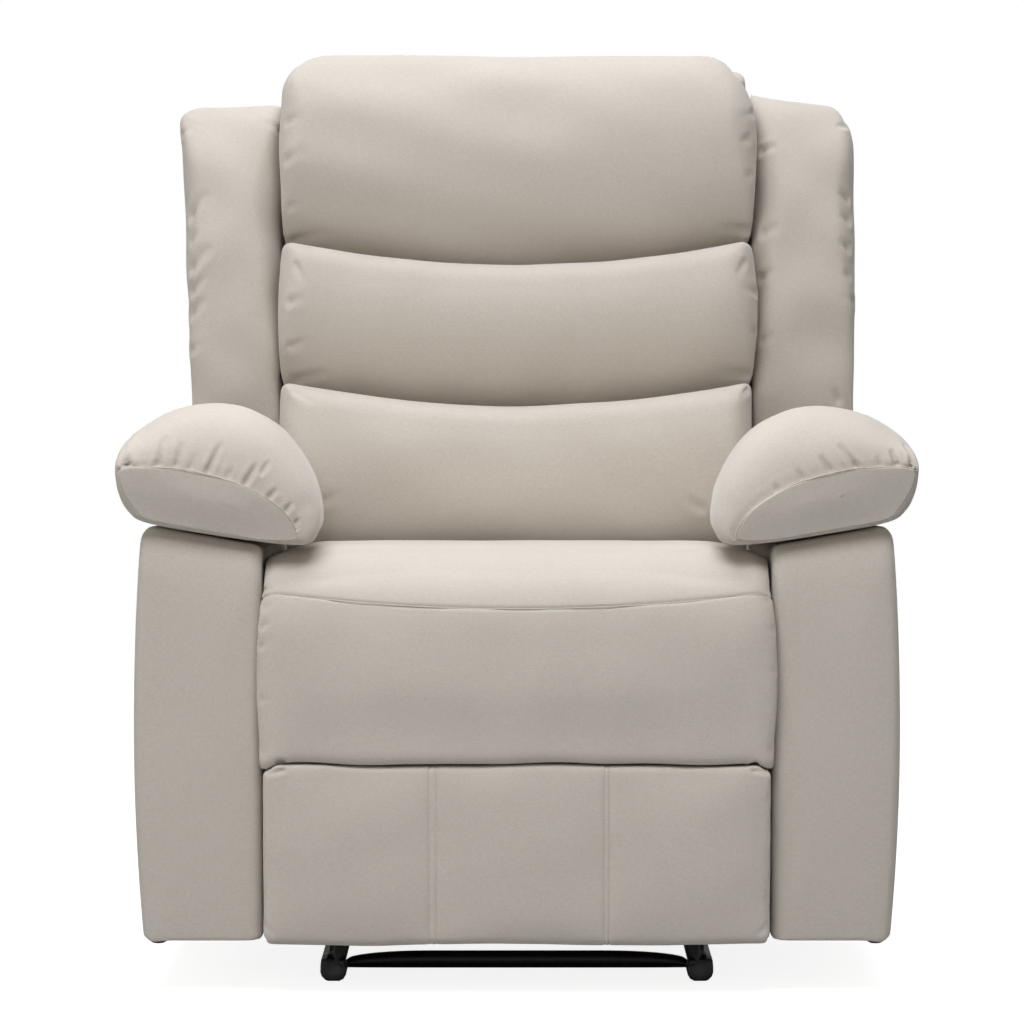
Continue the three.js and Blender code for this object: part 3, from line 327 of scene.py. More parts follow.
def pillow(skin, half, rear, belly, edges, corners):
    """A stuffed block standing upright in its own place, as deep as rear behind and belly in front.

    Its front falls back to the left, right, foot and top: each edge is (start, reach, depth, power).
    The outline's corners, left foot, right foot, left top and right top, are rounded by (across, up).
    """
    u, v, w = skin.T
    x = half[0] * ease(u)
    z = half[1] * ease(w)

    def fall(x, z):
        gaps = (x + half[0], half[0] - x, z + half[1], half[1] - z)
        falls = [depth * quarter(1 - (gap - start) / reach, power)
                 for gap, (start, reach, depth, power) in zip(gaps, edges)]
        return ((falls[0] + falls[1]) ** 3 + (falls[2] + falls[3]) ** 3) ** (1 / 3)

    both = fall(x, z)
    for (sx, sz), (wide, high) in zip(((-1, -1), (1, -1), (-1, 1), (1, 1)), corners):
        cx, cz = sx * (half[0] - wide), sz * (half[1] - high)
        dx, dz = (x - cx) * sx / wide, (z - cz) * sz / high
        inside = (dx > 0) & (dz > 0)
        # round a corner, the front falls back as much as beside it at one end and above it at the other
        out = 1 - np.clip(np.maximum(dx, dz), 0, 1)
        turn = smoothstep(np.arctan2(dz, dx) * 2 / math.pi)
        beside = fall(sx * (half[0] - wide * out), np.full(len(x), cz))
        above = fall(np.full(len(x), cx), sz * (half[1] - high * out))
        both = np.where(inside, beside * (1 - turn) + above * turn, both)
        scale = np.where(inside, np.maximum(dx, dz) / np.maximum(np.hypot(dx, dz), 1e-9), 1)
        x = np.where(inside, cx + sx * wide * dx * scale, x)
        z = np.where(inside, cz + sz * high * dz * scale, z)
    front = np.minimum(both, belly + rear - 12) - belly
    y = front + (rear - front) * (v + 1) / 2
    return np.stack([x, y, z], axis=1)


def smoothstep(t):
    t = np.clip(t, 0, 1)
    return t * t * (3 - 2 * t)


def spline(knots, count):
    """Evenly numbered points on a smooth closed curve through the knots."""
    knots = np.array(knots, dtype=float)
    padded = np.concatenate([knots[-1:], knots, knots[:2]])
    result = []
    for place in np.arange(count) / count * len(knots):
        k = int(place)
        t = place - k
        a, b, c, d = padded[k:k + 4]
        result.append(0.5 * (2 * b + (c - a) * t + (2 * a - 5 * b + 4 * c - d) * t ** 2
                             + (3 * b - a - 3 * c + d) * t ** 3))
    return np.array(result)


# Materials

def nodes_of(name, roughness):
    """A new material with its tree, its shader and the coordinates of the object it is on."""
    material = bpy.data.materials.new(name)
    material.use_nodes = True
    tree = material.node_tree
    shader = tree.nodes["Principled BSDF"]
    shader.inputs["Roughness"].default_value = roughness
    return material, tree, shader, node(tree, "ShaderNodeTexCoord").outputs["Object"]


def link(tree, source, target):
    tree.links.new(source, target)


def node(tree, kind, **values):
    made = tree.nodes.new(kind)
    for key, value in values.items():
        if key.startswith("in_"):
            made.inputs[key[3:].replace("_", " ")].default_value = value
        else:
            setattr(made, key, value)
    return made


def ramp(tree, source, low, high, low_colour, high_colour):
    made = node(tree, "ShaderNodeValToRGB")
    for stop, position, colour in zip(made.color_ramp.elements, (low, high), (low_colour, high_colour)):
        stop.position = position
        stop.color = (*colour, 1)
    link(tree, source, made.inputs["Fac"])
    return made.outputs["Color"]


def linear(r, g, b):
    """A colour as written on screen, from 0 to 255, as the shader wants it."""
    return tuple(((c / 255 + 0.055) / 1.055) ** 2.4 if c > 10 else c / 255 / 12.92 for c in (r, g, b))


def stretched(tree, coordinates, scale):
    mapping = node(tree, "ShaderNodeMapping", in_Scale=scale)
    link(tree, coordinates, mapping.inputs["Vector"])
    return mapping.outputs["Vector"]


def texture(tree, kind, coordinates, **values):
    """The outputs of a texture node read at the given coordinates."""
    made = node(tree, "ShaderNodeTex" + kind, **values)
    link(tree, coordinates, made.inputs["Vector"])
    return made.outputs


def streaks(tree, coordinates, scale):
    where = stretched(tree, coordinates, scale)
    return texture(tree, "Noise", where, in_Scale=1.0, in_Detail=2.0, in_Roughness=0.6)["Fac"]


def bumped(tree, shader, height, strength, distance):
    bump = node(tree, "ShaderNodeBump", in_Strength=strength, in_Distance=distance)
    link(tree, height, bump.inputs["Height"])
    link(tree, bump.outputs["Normal"], shader.inputs["Normal"])


def math_node(tree, operation, a, b):
    made = node(tree, "ShaderNodeMath", operation=operation)
    for socket, value in zip(made.inputs, (a, b)):
        if isinstance(value, (int, float)):
            socket.default_value = value
        else:
            link(tree, value, socket)
    return made.outputs["Value"]


def cloth_material(name, colour, contrast=1.0):
    """Fine slubbed cloth: threads both ways, slow patches of shade and a soft nap."""
    material, tree, shader, where = nodes_of(name, 0.93)
    facing = node(tree, "ShaderNodeSeparateXYZ")
    link(tree, where.node.outputs["Normal"], facing.inputs["Vector"])
    upward = math_node(tree, "ABSOLUTE", facing.outputs["Z"], 0)
    level = streaks(tree, where, (230, 230, 1100))
    plumb = streaks(tree, where, (1200, 1200, 210))
    lying = streaks(tree, where, (230, 1100, 230))
    # the weft lies level on upright faces and runs across on lying ones
    weft = node(tree, "ShaderNodeMix", data_type="FLOAT")
    link(tree, math_node(tree, "GREATER_THAN", upward, 0.7), weft.inputs["Factor"])
    link(tree, level, weft.inputs[2])
    link(tree, lying, weft.inputs[3])
    threads = math_node(tree, "ADD", math_node(tree, "MULTIPLY", weft.outputs[0], 0.6),
                        math_node(tree, "MULTIPLY", plumb, 0.4))
    patches = texture(tree, "Noise", where, in_Scale=9.0, in_Detail=3.0, in_Roughness=0.55)
    slow = math_node(tree, "MULTIPLY", patches["Fac"], 0.12)
    tone = math_node(tree, "ADD", math_node(tree, "MULTIPLY", threads, 0.88), slow)
    spread = 0.04 * contrast
    dark = linear(*[c * (1 - spread) for c in colour])
    light = linear(*[min(c * (1 + spread), 250) for c in colour])
    link(tree, ramp(tree, tone, 0.34, 0.66, dark, light), shader.inputs["Base Color"])
    shader.inputs["Specular IOR Level"].default_value = 0.25
    shader.inputs["Sheen Weight"].default_value = 0.22
    shader.inputs["Sheen Roughness"].default_value = 0.45
    bumped(tree, shader, threads, 0.35, 0.0006)
    return material


def steel_material(name, colour, roughness, worn):
    """Powder-coated steel: fine orange peel, and the coat rubbed paler in small patches."""
    material, tree, shader, where = nodes_of(name, roughness)
    peel = texture(tree, "Noise", where, in_Scale=900.0, in_Detail=2.0)["Fac"]
    rub = texture(tree, "Noise", where, in_Scale=60.0, in_Detail=6.0, in_Roughness=0.7)["Fac"]
    pale = linear(*[min(c * worn, 255) for c in colour])
    link(tree, ramp(tree, rub, 0.55, 0.75, linear(*colour), pale), shader.inputs["Base Color"])
    gloss = ramp(tree, rub, 0.3, 0.7, (roughness,) * 3, (roughness + 0.15,) * 3)
    link(tree, gloss, shader.inputs["Roughness"])
    shader.inputs["Metallic"].default_value = 0.35
    bumped(tree, shader, peel, 0.25, 0.0003)
    return material


def plastic_material(name, colour):
    """Moulded plastic with a fine spark-eroded grain."""
    material, tree, shader, where = nodes_of(name, 0.5)
    grain = texture(tree, "Voronoi", where, in_Scale=1400.0)["Distance"]
    scuff = texture(tree, "Noise", where, in_Scale=70.0, in_Detail=4.0)["Fac"]
    pale = linear(*[c * 1.7 for c in colour])
    link(tree, ramp(tree, scuff, 0.45, 0.75, linear(*colour), pale), shader.inputs["Base Color"])
    bumped(tree, shader, grain, 0.3, 0.0002)
    return material


def timber_material(name, colour, across):
    """Plywood or softwood: long grain along x, with knots and growth rings."""
    material, tree, shader, where = nodes_of(name, 0.75)
    where = stretched(tree, where, across)
    rings = texture(tree, "Wave", where, in_Scale=1.0, in_Distortion=5.0, in_Detail=3.0)
    dark = linear(*[c * 0.74 for c in colour])
    link(tree, ramp(tree, rings["Color"], 0.2, 0.8, dark, linear(*colour)), shader.inputs["Base Color"])
    bumped(tree, shader, rings["Fac"], 0.2, 0.0004)
    return material


cloth = cloth_material("greige_cloth", (200, 192, 182))
seam_cloth = cloth_material("seam_thread", (208, 201, 192), 0.6)
# painted shade: a near-black cloth that stands in for the shade deep in the gaps between the back's cushions
# and wings
gap_shade_cloth = cloth_material("painted_gap_shade", (58, 53, 48))
steel = steel_material("black_steel", (25, 26, 27), 0.38, 1.9)
plastic = plastic_material("black_plastic", (15, 15, 15))
timber = timber_material("plywood", (196, 160, 112), (4, 30, 60))


# Pieces

def piece(name, points, faces, material, body, slot, replaced=()):
    """A piece of the looks on its body. It hides the frame's solids that it replaces."""
    obj = mesh_object(name, points, faces)
    obj.data.polygons.foreach_set("use_smooth", [True] * len(obj.data.polygons))
    obj.data.materials.append(material)
    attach(obj, body)
    if replaced:
        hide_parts(*replaced)
    return obj


def cover(node_name, points, faces, body, name=None):
    """A stuffed cover in place of a soft solid of the frame, named after it unless a name is given."""
    obj = piece(name or node_name + "_cover", points, faces, cloth, body, "fabric", [node_name])


def thread(name, skin, body):
    """Sewing thread that the frame doesn't have."""
    piece(name, *skin, seam_cloth, body, "fabric")


def tube_skin(line, radius, sides=6):
    """A thin tube along a line of points, as points and quads."""
    line = np.asarray(line, dtype=float)
    tangent = np.gradient(line, axis=0)
    tangent /= np.maximum(np.linalg.norm(tangent, axis=1, keepdims=True), 1e-9)
    helper = np.where(np.abs(tangent[:, 2:]) < 0.9, [[0, 0, 1.0]], [[1.0, 0, 0]])
    side = np.cross(tangent, helper)
    side /= np.linalg.norm(side, axis=1, keepdims=True)
    up = np.cross(side, tangent)
    angles = 2 * math.pi * np.arange(sides) / sides
    share = np.ones(len(line))
    share[0] = share[-1] = 0.25
    rings = [p + radius * s * (np.cos(angles)[:, None] * a + np.sin(angles)[:, None] * b)
             for p, s, a, b in zip(line, share, side, up)]
    return ring_skin(rings)


def surface_of(points, faces):
    return BVHTree.FromPolygons(points.tolist(), faces.tolist())


def laid(surface, line, lift):
    """A line dropped onto the nearest surface, lifted off it a little."""
    result = []
    for point in line:
        place, normal, _, _ = surface.find_nearest(Vector(point))
        result.append(np.array(place) + np.array(normal) * lift)
    return np.array(result)


def joined(parts):
    """Several skins as one."""
    points, faces, count = [], [], 0
    for part_points, part_faces in parts:
        points.append(part_points)
        faces.append(part_faces + count)
        count += len(part_points)
    return np.concatenate(points), np.concatenate(faces)


def stitches(surface, line):
    """A row of short threads along a line laid on a surface."""
    pitch, length, radius, lift = 4.2, 2.8, 0.35, 0.1
    line = laid(surface, line, 0)
    places = np.concatenate([[0], np.cumsum(np.linalg.norm(np.diff(line, axis=0), axis=1))])
    wanted = np.linspace(0, places[-1], int(places[-1] / pitch))
    spots = np.stack([np.interp(wanted, places, line[:, k]) for k in range(3)], axis=1)
    steps = np.gradient(spots, axis=0)
    steps *= length / 2 / np.linalg.norm(steps, axis=1, keepdims=True)
    lines = [[spot - step, spot, spot + step] for spot, step in zip(spots, steps)]
    return joined([tube_skin(laid(surface, line, lift), radius, 4) for line in lines])


# Back cushions

def seam_dip(x):
    """How far a seam of the back sags below its ends."""
    return BACK_SAG * (1 - np.minimum(np.abs(x) / BACK_SIDE, 1) ** 2)


def back_cushion(foot, top, foot_dips, top_dips, foot_side, belly, edges, corners, lean_out):
    """A stuffed channel of the back. Its foot and its top may dip with the seams."""
    skin, faces = box_skin(80, 16, 40 if top - foot > 200 else 32)
    u, v, w = skin.T
    half = (BACK_SIDE, (top - foot) / 2 - 0.5)
    points = pillow(skin, half, BACK_REST, belly, edges, corners)
    # behind, the corners are nearly square and cover those of the panel
    square = pillow(skin, half, BACK_REST, belly, edges, ((14, 16),) * 4)
    behind = smoothstep(v + 0.4)[:, None]
    points = points * (1 - behind) + square * behind
    share = (1 + ease(w)) / 2
    points[:, 0] *= (foot_side + (BACK_SIDE - foot_side) * share) / BACK_SIDE
    edge = np.clip((np.abs(u) - 0.75) / 0.25, 0, 1) * smoothstep((-v - 0.2) / 0.5)
    swell = np.where(u > 0, lean_out, 4)
    points[:, 0] += np.sign(u) * edge * (swell * np.sin(math.pi * share) - 6 * np.abs(w) ** 6)
    fall = seam_dip(points[:, 0]) * ((1 - share) * foot_dips + share * top_dips)
    points[:, 2] += (top + foot) / 2 - fall
    held = np.where(v > -0.25, 1.0, 0.0)
    held = np.maximum(held, np.where((np.abs(u) > 0.97) | (np.abs(w) > 0.97), 0.7, 0.0))
    world = stuffed(leaned(points), faces, held, pressure=2.0, slack=0.002, cap=6, even=10)
    faces = oriented(world, faces)
    return smoothed(world, faces)


BACK_ROLL = (0, 32, 42, 2)
HEAD_FOLDS = (
    (286, 160, 307, 149, 4, 5), (287, 122, 302, 116, 3, 4.5), (753, 112, 737, 119, 3.5, 4.5),
    (757, 137, 740, 141, 4, 4.5), (758, 174, 744, 176, 2.5, 5), (289, 207, 303, 203, 2.5, 4.5),
    (745, 88, 722, 64, 1.6, 2.6), (289, 90, 311, 66, 1.6, 2.6), (293, 240, 330, 231, 2.5, 6),
    (748, 230, 716, 226, 2.5, 6))
SHOULDER_FOLDS = (
    (289, 302, 305, 296, 4, 4.5), (296, 265, 306, 283, 3, 4), (290, 347, 306, 341, 3, 4.5),
    (756, 292, 741, 289, 4, 4.5), (755, 332, 740, 328, 3, 4.5), (745, 262, 736, 276, 3, 4),
    (298, 379, 330, 371, 2.5, 6), (747, 375, 712, 370, 2.5, 6))
LUMBAR_FOLDS = (
    (297, 392, 314, 404, 3.5, 4.5), (748, 389, 730, 401, 3.5, 4.5), (322, 503, 340, 492, 3, 5),
    (700, 508, 684, 497, 3, 5))


def build_back():
    head = back_cushion(SEAM_HIGH, HEAD_TOP, 1, 0, BACK_SIDE, 130,
                        (BACK_ROLL, BACK_ROLL, (0, 144, 124, 2), (0, 104, 76, 2)),
                        ((14, 16), (14, 16), (60, 64), (56, 104)), 9)
    shoulder = back_cushion(SEAM_LOW, SEAM_HIGH, 1, 1, BACK_SIDE, 127,
                            (BACK_ROLL, BACK_ROLL, (0, 136, 120, 2), (0, 36, 66, 2.4)),
                            ((14, 16),) * 4, 8)
    lumbar = back_cushion(88, SEAM_LOW, 0, 1, SEAT_SIDE + 1, 134,
                          (BACK_ROLL, BACK_ROLL, (4, 180, 126, 2), (0, 40, 66, 2.3)),
                          ((10, 10), (10, 10), (14, 16), (14, 16)), 2)
    for seed, (node_name, (points, faces), folds) in enumerate((
            ("head_cushion", head, HEAD_FOLDS),
            ("shoulder_cushion", shoulder, SHOULDER_FOLDS),
            ("lumbar_cushion", lumbar, LUMBAR_FOLDS))):
        points = lumpy(points, faces, 1.1, 110, seed)
        points = folded(points, faces, folds)
        cover(node_name, points, faces, "back")


def build_gap_shade_sheet():
    """The dark sheet over the panel that the cushions lie on: its near-black colour is painted shade for the
    deep gaps between the cushions and the wings, where the panel shows.
    """
    skin, faces = box_skin(24, 2, 28)
    points = pillow(skin, (BACK_SIDE - 1, 338), 0.7, 0.7, ((0, 1, 0.5, 2),) * 4, ((14, 14),) * 4)
    points += [0, 21, 425]
    points = leaned(points)
    # the sheet's dark colour is painted shade for the gaps, not a colour the panel has
    obj = piece("back_gap_shade_sheet", points, oriented(points, faces), gap_shade_cloth, "back", "fabric")


LEFT_WING_FOLDS = (
    (184, 216, 206, 192, 5.5, 6), (184, 268, 210, 245, 6, 6), (185, 292, 206, 276, 4.5, 5),
    (186, 314, 204, 298, 5, 5.5), (281, 133, 264, 124, 4.5, 5), (282, 305, 266, 297, 4.5, 5),
    (182, 134, 196, 129, 2.5, 4.5), (187, 350, 200, 343, 3, 5), (281, 375, 268, 381, 3.5, 5),
    (183, 240, 197, 229, 3.5, 5))
RIGHT_WING_FOLDS = (
    (856, 197, 839, 191, 4.5, 5), (857, 218, 840, 213, 4.5, 5), (857, 247, 839, 239, 5, 5.5),
    (762, 151, 777, 146, 4.5, 5), (763, 233, 780, 225, 4.5, 5), (760, 279, 776, 270, 4.5, 5),
    (850, 119, 834, 126, 2.5, 4.5), (838, 400, 833, 388, 3.5, 4.5), (854, 302, 840, 297, 3, 5),
    (855, 274, 843, 271, 3, 5), (762, 340, 775, 334, 3, 5))


def wing(side):
    """A wing of the back. The two differ a little at the top, as in the photograph."""
    left = side < 0
    skin, faces = box_skin(36, 12, 100)
    u, v, w = skin.T
    half = (WING_WIDTH / 2, (WING_TOP - WING_FOOT) / 2)
    edges = ((0, 48, 48, 2), (0, 34, 32, 2), (0, 410, 140, 2), (0, 150, 62, 2))
    outer_corner = (30, 34) if left else (30, 66)
    points = pillow(skin, half, BACK_REST, 74, edges, ((14, 14), (14, 14), (12, 12), outer_corner))
    forward = np.clip(-v, 0, 1)
    points[:, 1] -= 6 * (1 - u ** 2) * (1 - w ** 4) * forward
    outer_rise, inner_rise = (-3, 3) if left else (-8, 22)
    up = np.clip(w, 0, 1) ** 2
    points[:, 2] += up * (outer_rise * (1 + u) / 2 + inner_rise * (1 - u) / 2)
    taper = (24 if left else 8) * (1 - ease(w)) * (1 + u) / 4
    swell = 3.5 * np.exp(-((w - 0.82) / 0.22) ** 2) if left else 4 * (1 - w ** 2)
    points[:, 0] += WING_X + half[0] - taper + swell * np.clip(u, 0, 1)
    points[:, 2] += (WING_TOP + WING_FOOT) / 2
    points[:, 0] *= side
    faces = oriented(points, faces)
    held = np.where(v > 0.3, 1.0, 0.0)
    held = np.maximum(held, np.where((np.abs(u) > 0.97) | (np.abs(w) > 0.985), 0.6, 0.0))
    world = stuffed(leaned(points), faces, held, pressure=2.0, slack=0.004, cap=5, even=12)
    points, faces = smoothed(world, oriented(world, faces))
    points = lumpy(points, faces, 1.6, 90, 11 + side)
    points = folded(points, faces, LEFT_WING_FOLDS if left else RIGHT_WING_FOLDS)
    cover("wing_left" if left else "wing_right", points, faces, "back")


# Seat

def seat_seam(x):
    """How high the seam over the seat's nose lies."""
    return 434 + 18 * (x / SEAT_SIDE) ** 2


SEAT_FOLDS = (
    (260, 607, 273, 604, 2.5, 3), (258, 626, 271, 622, 3, 3), (257, 647, 268, 641, 2.5, 3),
    (283, 763, 262, 756, 6, 2.6), (753, 763, 771, 757, 6, 2.6), (264, 590, 280, 588, 2, 3),
    (262, 748, 272, 752, 2.5, 2.6), (771, 748, 761, 752, 2.5, 2.6), (261, 700, 270, 698, 2, 3),
    (772, 600, 760, 598, 2.5, 3), (774, 630, 763, 627, 2, 3), (775, 672, 766, 670, 2, 3))


def seat_profile():
    """The seat's outline in the side view, from its front bottom edge over the nose and back under."""
    nose_rise = 95
    crest = SEAT_CREST - 4
    outline = [(SEAT_FRONT + 14, SEAT_BOTTOM - 2), (SEAT_FRONT + 4, SEAT_BOTTOM - 1.4),
               (SEAT_FRONT + 0.8, SEAT_BOTTOM + 2), (SEAT_FRONT, SEAT_BOTTOM + 10)]
    for angle in np.linspace(math.pi, math.pi / 2, 40):
        y = SEAT_FRONT + SEAT_NOSE + SEAT_NOSE * math.cos(angle)
        outline.append((y, crest - nose_rise + nose_rise * math.sin(angle)))
    rest = []
    for share in np.linspace(0.03, 0.97, 40):
        z = crest + (SEAT_REAR_CREST - SEAT_CREST) * share
        rest.append((SEAT_FRONT + SEAT_NOSE + (SEAT_REAR + 16 - SEAT_FRONT - SEAT_NOSE) * share, z))
    rest += [(SEAT_REAR + 17, SEAT_REAR_CREST - 16), (SEAT_REAR + 8, SEAT_REAR_CREST - 46),
             (SEAT_REAR, SEAT_DECK + 30), (SEAT_REAR, SEAT_DECK)]
    rest += [(y, SEAT_DECK) for y in np.linspace(SEAT_REAR - 40, SEAT_FRONT + SEAT_DROP + 10, 10)]
    rest += [(SEAT_FRONT + SEAT_DROP, z) for z in np.linspace(SEAT_DECK, SEAT_BOTTOM, 7)]
    return np.array(outline), np.array(rest)


def edge_wave(x):
    """The slow wave of the seat's lower edge, which the footrest's upper edge follows."""
    return np.sin(x / 52 + 1) + 0.6 * np.sin(x / 21)


def build_seat():
    front, rest = seat_profile()
    lengths = np.concatenate([[0], np.cumsum(np.linalg.norm(np.diff(front, axis=0), axis=1))])
    rings = []
    below, above = 24, 20
    near = np.array([-4, -2.2, -1.1, 0, 1.1, 2.2, 4])
    pulls = np.array([0.1, 0.6, 1.5, 2.2, 1.5, 0.6, 0.1])
    for side in ease(np.linspace(-1, 1, 75)):
        seam = np.interp(seat_seam(side * SEAT_SIDE), front[:, 1], lengths)
        places = np.concatenate([np.linspace(0, 1, below, endpoint=False) ** 0.9 * (seam - 8), seam + near,
                                 np.linspace(seam + 8, lengths[-1], above)])
        profile = np.stack([np.interp(places, lengths, front[:, k]) for k in range(2)], axis=1)
        profile = np.concatenate([profile, rest])
        share = min(SEAT_SIDE * (1 - abs(side)) / 22, 1)
        rounding = 1 - math.sqrt(1 - (1 - share) ** 2)
        top = np.maximum(profile[:, 1] - SEAT_DECK, 0) / (SEAT_CREST - SEAT_DECK)
        forward = np.clip((SEAT_FRONT + SEAT_DROP - profile[:, 0]) / SEAT_DROP, 0, 1)
        y = profile[:, 0] + forward * (13 * rounding - 5 * (1 - side * side))
        z = profile[:, 1] - 15 * rounding * top
        bulge = np.sin(math.pi * np.clip((z - SEAT_BOTTOM) / 190, 0, 1)) ** 0.6
        bulge *= smoothstep((forward - 0.35) / 0.5)
        x = side * SEAT_SIDE + np.sign(side) * 8 * bulge * abs(side) ** 12
        rings.append(np.stack([x, y, z], axis=1))
    points, faces = ring_skin(rings)
    ring_count = len(rings[0])
    place = np.arange(len(points)) % ring_count
    x, y, z = points.T
    on_seam = (place >= below) & (place < below + len(near))
    under = (z < SEAT_DECK + 1) & (y > SEAT_FRONT + 20)
    hem = (np.abs(x) > SEAT_SIDE - 1.5) | (y > SEAT_REAR - 2) | (z < SEAT_BOTTOM + 3)
    held = np.where(under | hem | on_seam, 1.0, 0.0)
    low = np.clip((z - SEAT_BOTTOM - 10) / 70, 0.15, 1)
    share = np.where(y < SEAT_FRONT + 40, low, 1)
    points = stuffed(points, faces, held, pressure=1.4, cap=5, even=8, share=share)
    pull = np.zeros(len(points))
    pull[on_seam] = pulls[place[on_seam] - below]
    points = points - vertex_normals(points, faces) * pull[:, None]
    first = 2 * ring_count
    along_seam = slice(first + below + 3, len(points) - first, ring_count)
    seam = points[along_seam] + vertex_normals(points, faces)[along_seam] * 1.2
    points, faces = smoothed(points, faces)
    points = lumpy(points, faces, 0.8, 120, 31)
    x, y, z = points.T.copy()
    ahead = y < SEAT_FRONT + 40
    points[:, 2] += np.clip((SEAT_BOTTOM + 26 - z) / 20, 0, 1) * ahead * edge_wave(x)
    # the ears where the cover is tucked in at its lower corners
    ear = smoothstep((np.abs(x) - 264) / 14) * np.exp(-((z - SEAT_BOTTOM - 3) / 12) ** 2) * ahead
    points += np.stack([np.sign(x) * 3 * ear, -1.5 * ear, -8 * ear], axis=1)
    points = folded(points, faces, SEAT_FOLDS)
    cover("seat_cushion", points, faces, "chassis", name="seat_cover")
    thread("seat_seam", tube_skin(seam[4:-4], 0.8), "chassis")


# Footrest

FOOT_TOP = 259
FOOT_BOTTOM = 56
FOOT_DEPTH = 53
FOOT_SEAMS = (-97, -89, 98, 103)
FOOT_FOLDS = (
    (327, 770, 327, 783, 1.5, 2.5), (768, 800, 760, 803, 2, 3), (768, 835, 761, 836, 1.5, 3),
    (766, 900, 758, 903, 2, 3), (265, 925, 276, 935, 2, 3), (765, 928, 755, 937, 2, 3),
    (480, 768, 483, 776, 1.5, 3), (560, 767, 556, 777, 1.5, 3), (283, 770, 266, 775, 4.5, 2.6),
    (754, 770, 770, 775, 4.5, 2.6))


def build_footrest():
    side = SEAT_SIDE + 0.6
    half = (side, FOOT_DEPTH / 2, (FOOT_TOP - FOOT_BOTTOM) / 2)
    # the grid's lines across are moved, so that some lie on the seams and close beside them
    places = set(np.round(side * ease(np.linspace(-1, 1, 61)), 1))
    places = {x for x in places if min(abs(x - seam) for seam in FOOT_SEAMS) > 5}
    places |= {seam + d for seam in FOOT_SEAMS for d in (-2.2, -1.1, 0, 1.1, 2.2)}
    places = np.array(sorted(places | {-101, -85, 94, 107})) / side
    spans = len(places) - 1
    skin, faces = box_skin(spans, 8, 26)
    u, v, w = skin.T
    u = (np.arcsin(np.clip(places, -1, 1)) / (math.pi / 2))[np.rint((u + 1) / 2 * spans).astype(int)]
    points = rounded(u, v, w, half, np.where(w > 0, 6.5, 10.0))
    points[v > 0.99, 1] = half[1]
    forward = np.clip(-v, 0, 1)
    points[:, 1] -= 4 * (1 - u * u) * (1 - w * w) * forward
    points[:, 2] += 4 * np.clip((np.abs(u) - 0.9) / 0.1, 0, 1) * np.clip(-w, 0, 1)
    points += [0, SEAT_FRONT + half[1], (FOOT_TOP + FOOT_BOTTOM) / 2]
    faces = oriented(points, faces)
    from_seam = np.min([np.abs(points[:, 0] - seam) for seam in FOOT_SEAMS], axis=0)
    on_seam = (from_seam < 2.4) & (v < -0.3)
    held = np.where((v > -0.2) | (np.abs(w) > 0.985) | (np.abs(u) > 0.985) | on_seam, 1.0, 0.0)
    points = stuffed(points, faces, held, pressure=1.4, slack=0.002, cap=5)
    pull = np.where(v < -0.3, 1.1 * np.exp(-(from_seam / 1.3) ** 2), 0)
    points = points - vertex_normals(points, faces) * pull[:, None]
    points, faces = smoothed(points, faces)
    points = lumpy(points, faces, 0.5, 90, 32)
    x, _, z = points.T.copy()
    high = np.clip((z - FOOT_TOP + 24) / 20, 0, 1)
    low = np.clip((FOOT_BOTTOM + 24 - z) / 20, 0, 1)
    points[:, 2] += high * (edge_wave(x) - 0.3)
    points[:, 2] -= 6.5 * high * smoothstep((np.abs(x) - 266) / 13)
    points[:, 2] += low * (1.2 + 1.2 * np.sin(x / 47 + 2))
    points = folded(points, faces, FOOT_FOLDS)
    surface = surface_of(points, faces)
    rows = [stitches(surface, [(seam, -465, z) for z in np.linspace(68, 250, 40)]) for seam in FOOT_SEAMS]
    cover("foot_pad", points, faces, "footrest", name="footrest_cover")
    thread("footrest_stitching", joined(rows), "footrest")


# Arms

def arm_fall(y):
    """How far the arm's top has come down from its front at this depth."""
    return 30 * (y - ARM_FRONT) / (ARM_REAR - ARM_FRONT)


def arm_top(x, y):
    return ARM_TOP + 26 * (np.abs(x) - ARM_INNER) / ARM_WIDTH - arm_fall(y)


def arm_ring(y, inset):
    r = 20
    inner = ARM_INNER + inset
    outer = ARM_INNER + ARM_WIDTH - inset
    top_x = outer - 8
    bottom_x = outer - 9.5

    def top(x):
        return float(arm_top(x, y)) - inset

    ring = [(inner + 1, ARM_BOTTOM), (inner, ARM_BOTTOM + 5)]
    ring += [(inner, z) for z in np.linspace(ARM_BOTTOM + 16, top(inner) - 14, 40)]
    ring += [(inner, top(inner) - 5), (inner + 5, top(inner + 5))]
    ring += [(x, top(x)) for x in np.linspace(inner + 14, top_x - r - 6, 8)]
    ring += [(top_x - r, top(top_x - r)), (top_x - r * 0.62, top(top_x) - r * 0.08)]
    ring += [(top_x - r * 0.3, top(top_x) - r * 0.3), (top_x - r * 0.08, top(top_x) - r * 0.62)]
    for share in np.linspace(1, -1, 42):
        draw = 8 if share > 0 else 9.5
        z = ARM_BOTTOM + r / 2 + (top(top_x) - r - ARM_BOTTOM - r / 2) * (share + 1) / 2
        ring.append((outer - draw * share * share, z))
    ring += [(bottom_x - 0.6, ARM_BOTTOM + 3.4), (bottom_x - 5, ARM_BOTTOM)]
    ring += [(x, ARM_BOTTOM) for x in np.linspace(bottom_x - 18, inner + 10, 8)]
    return np.array([(x, y, z) for x, z in ring])


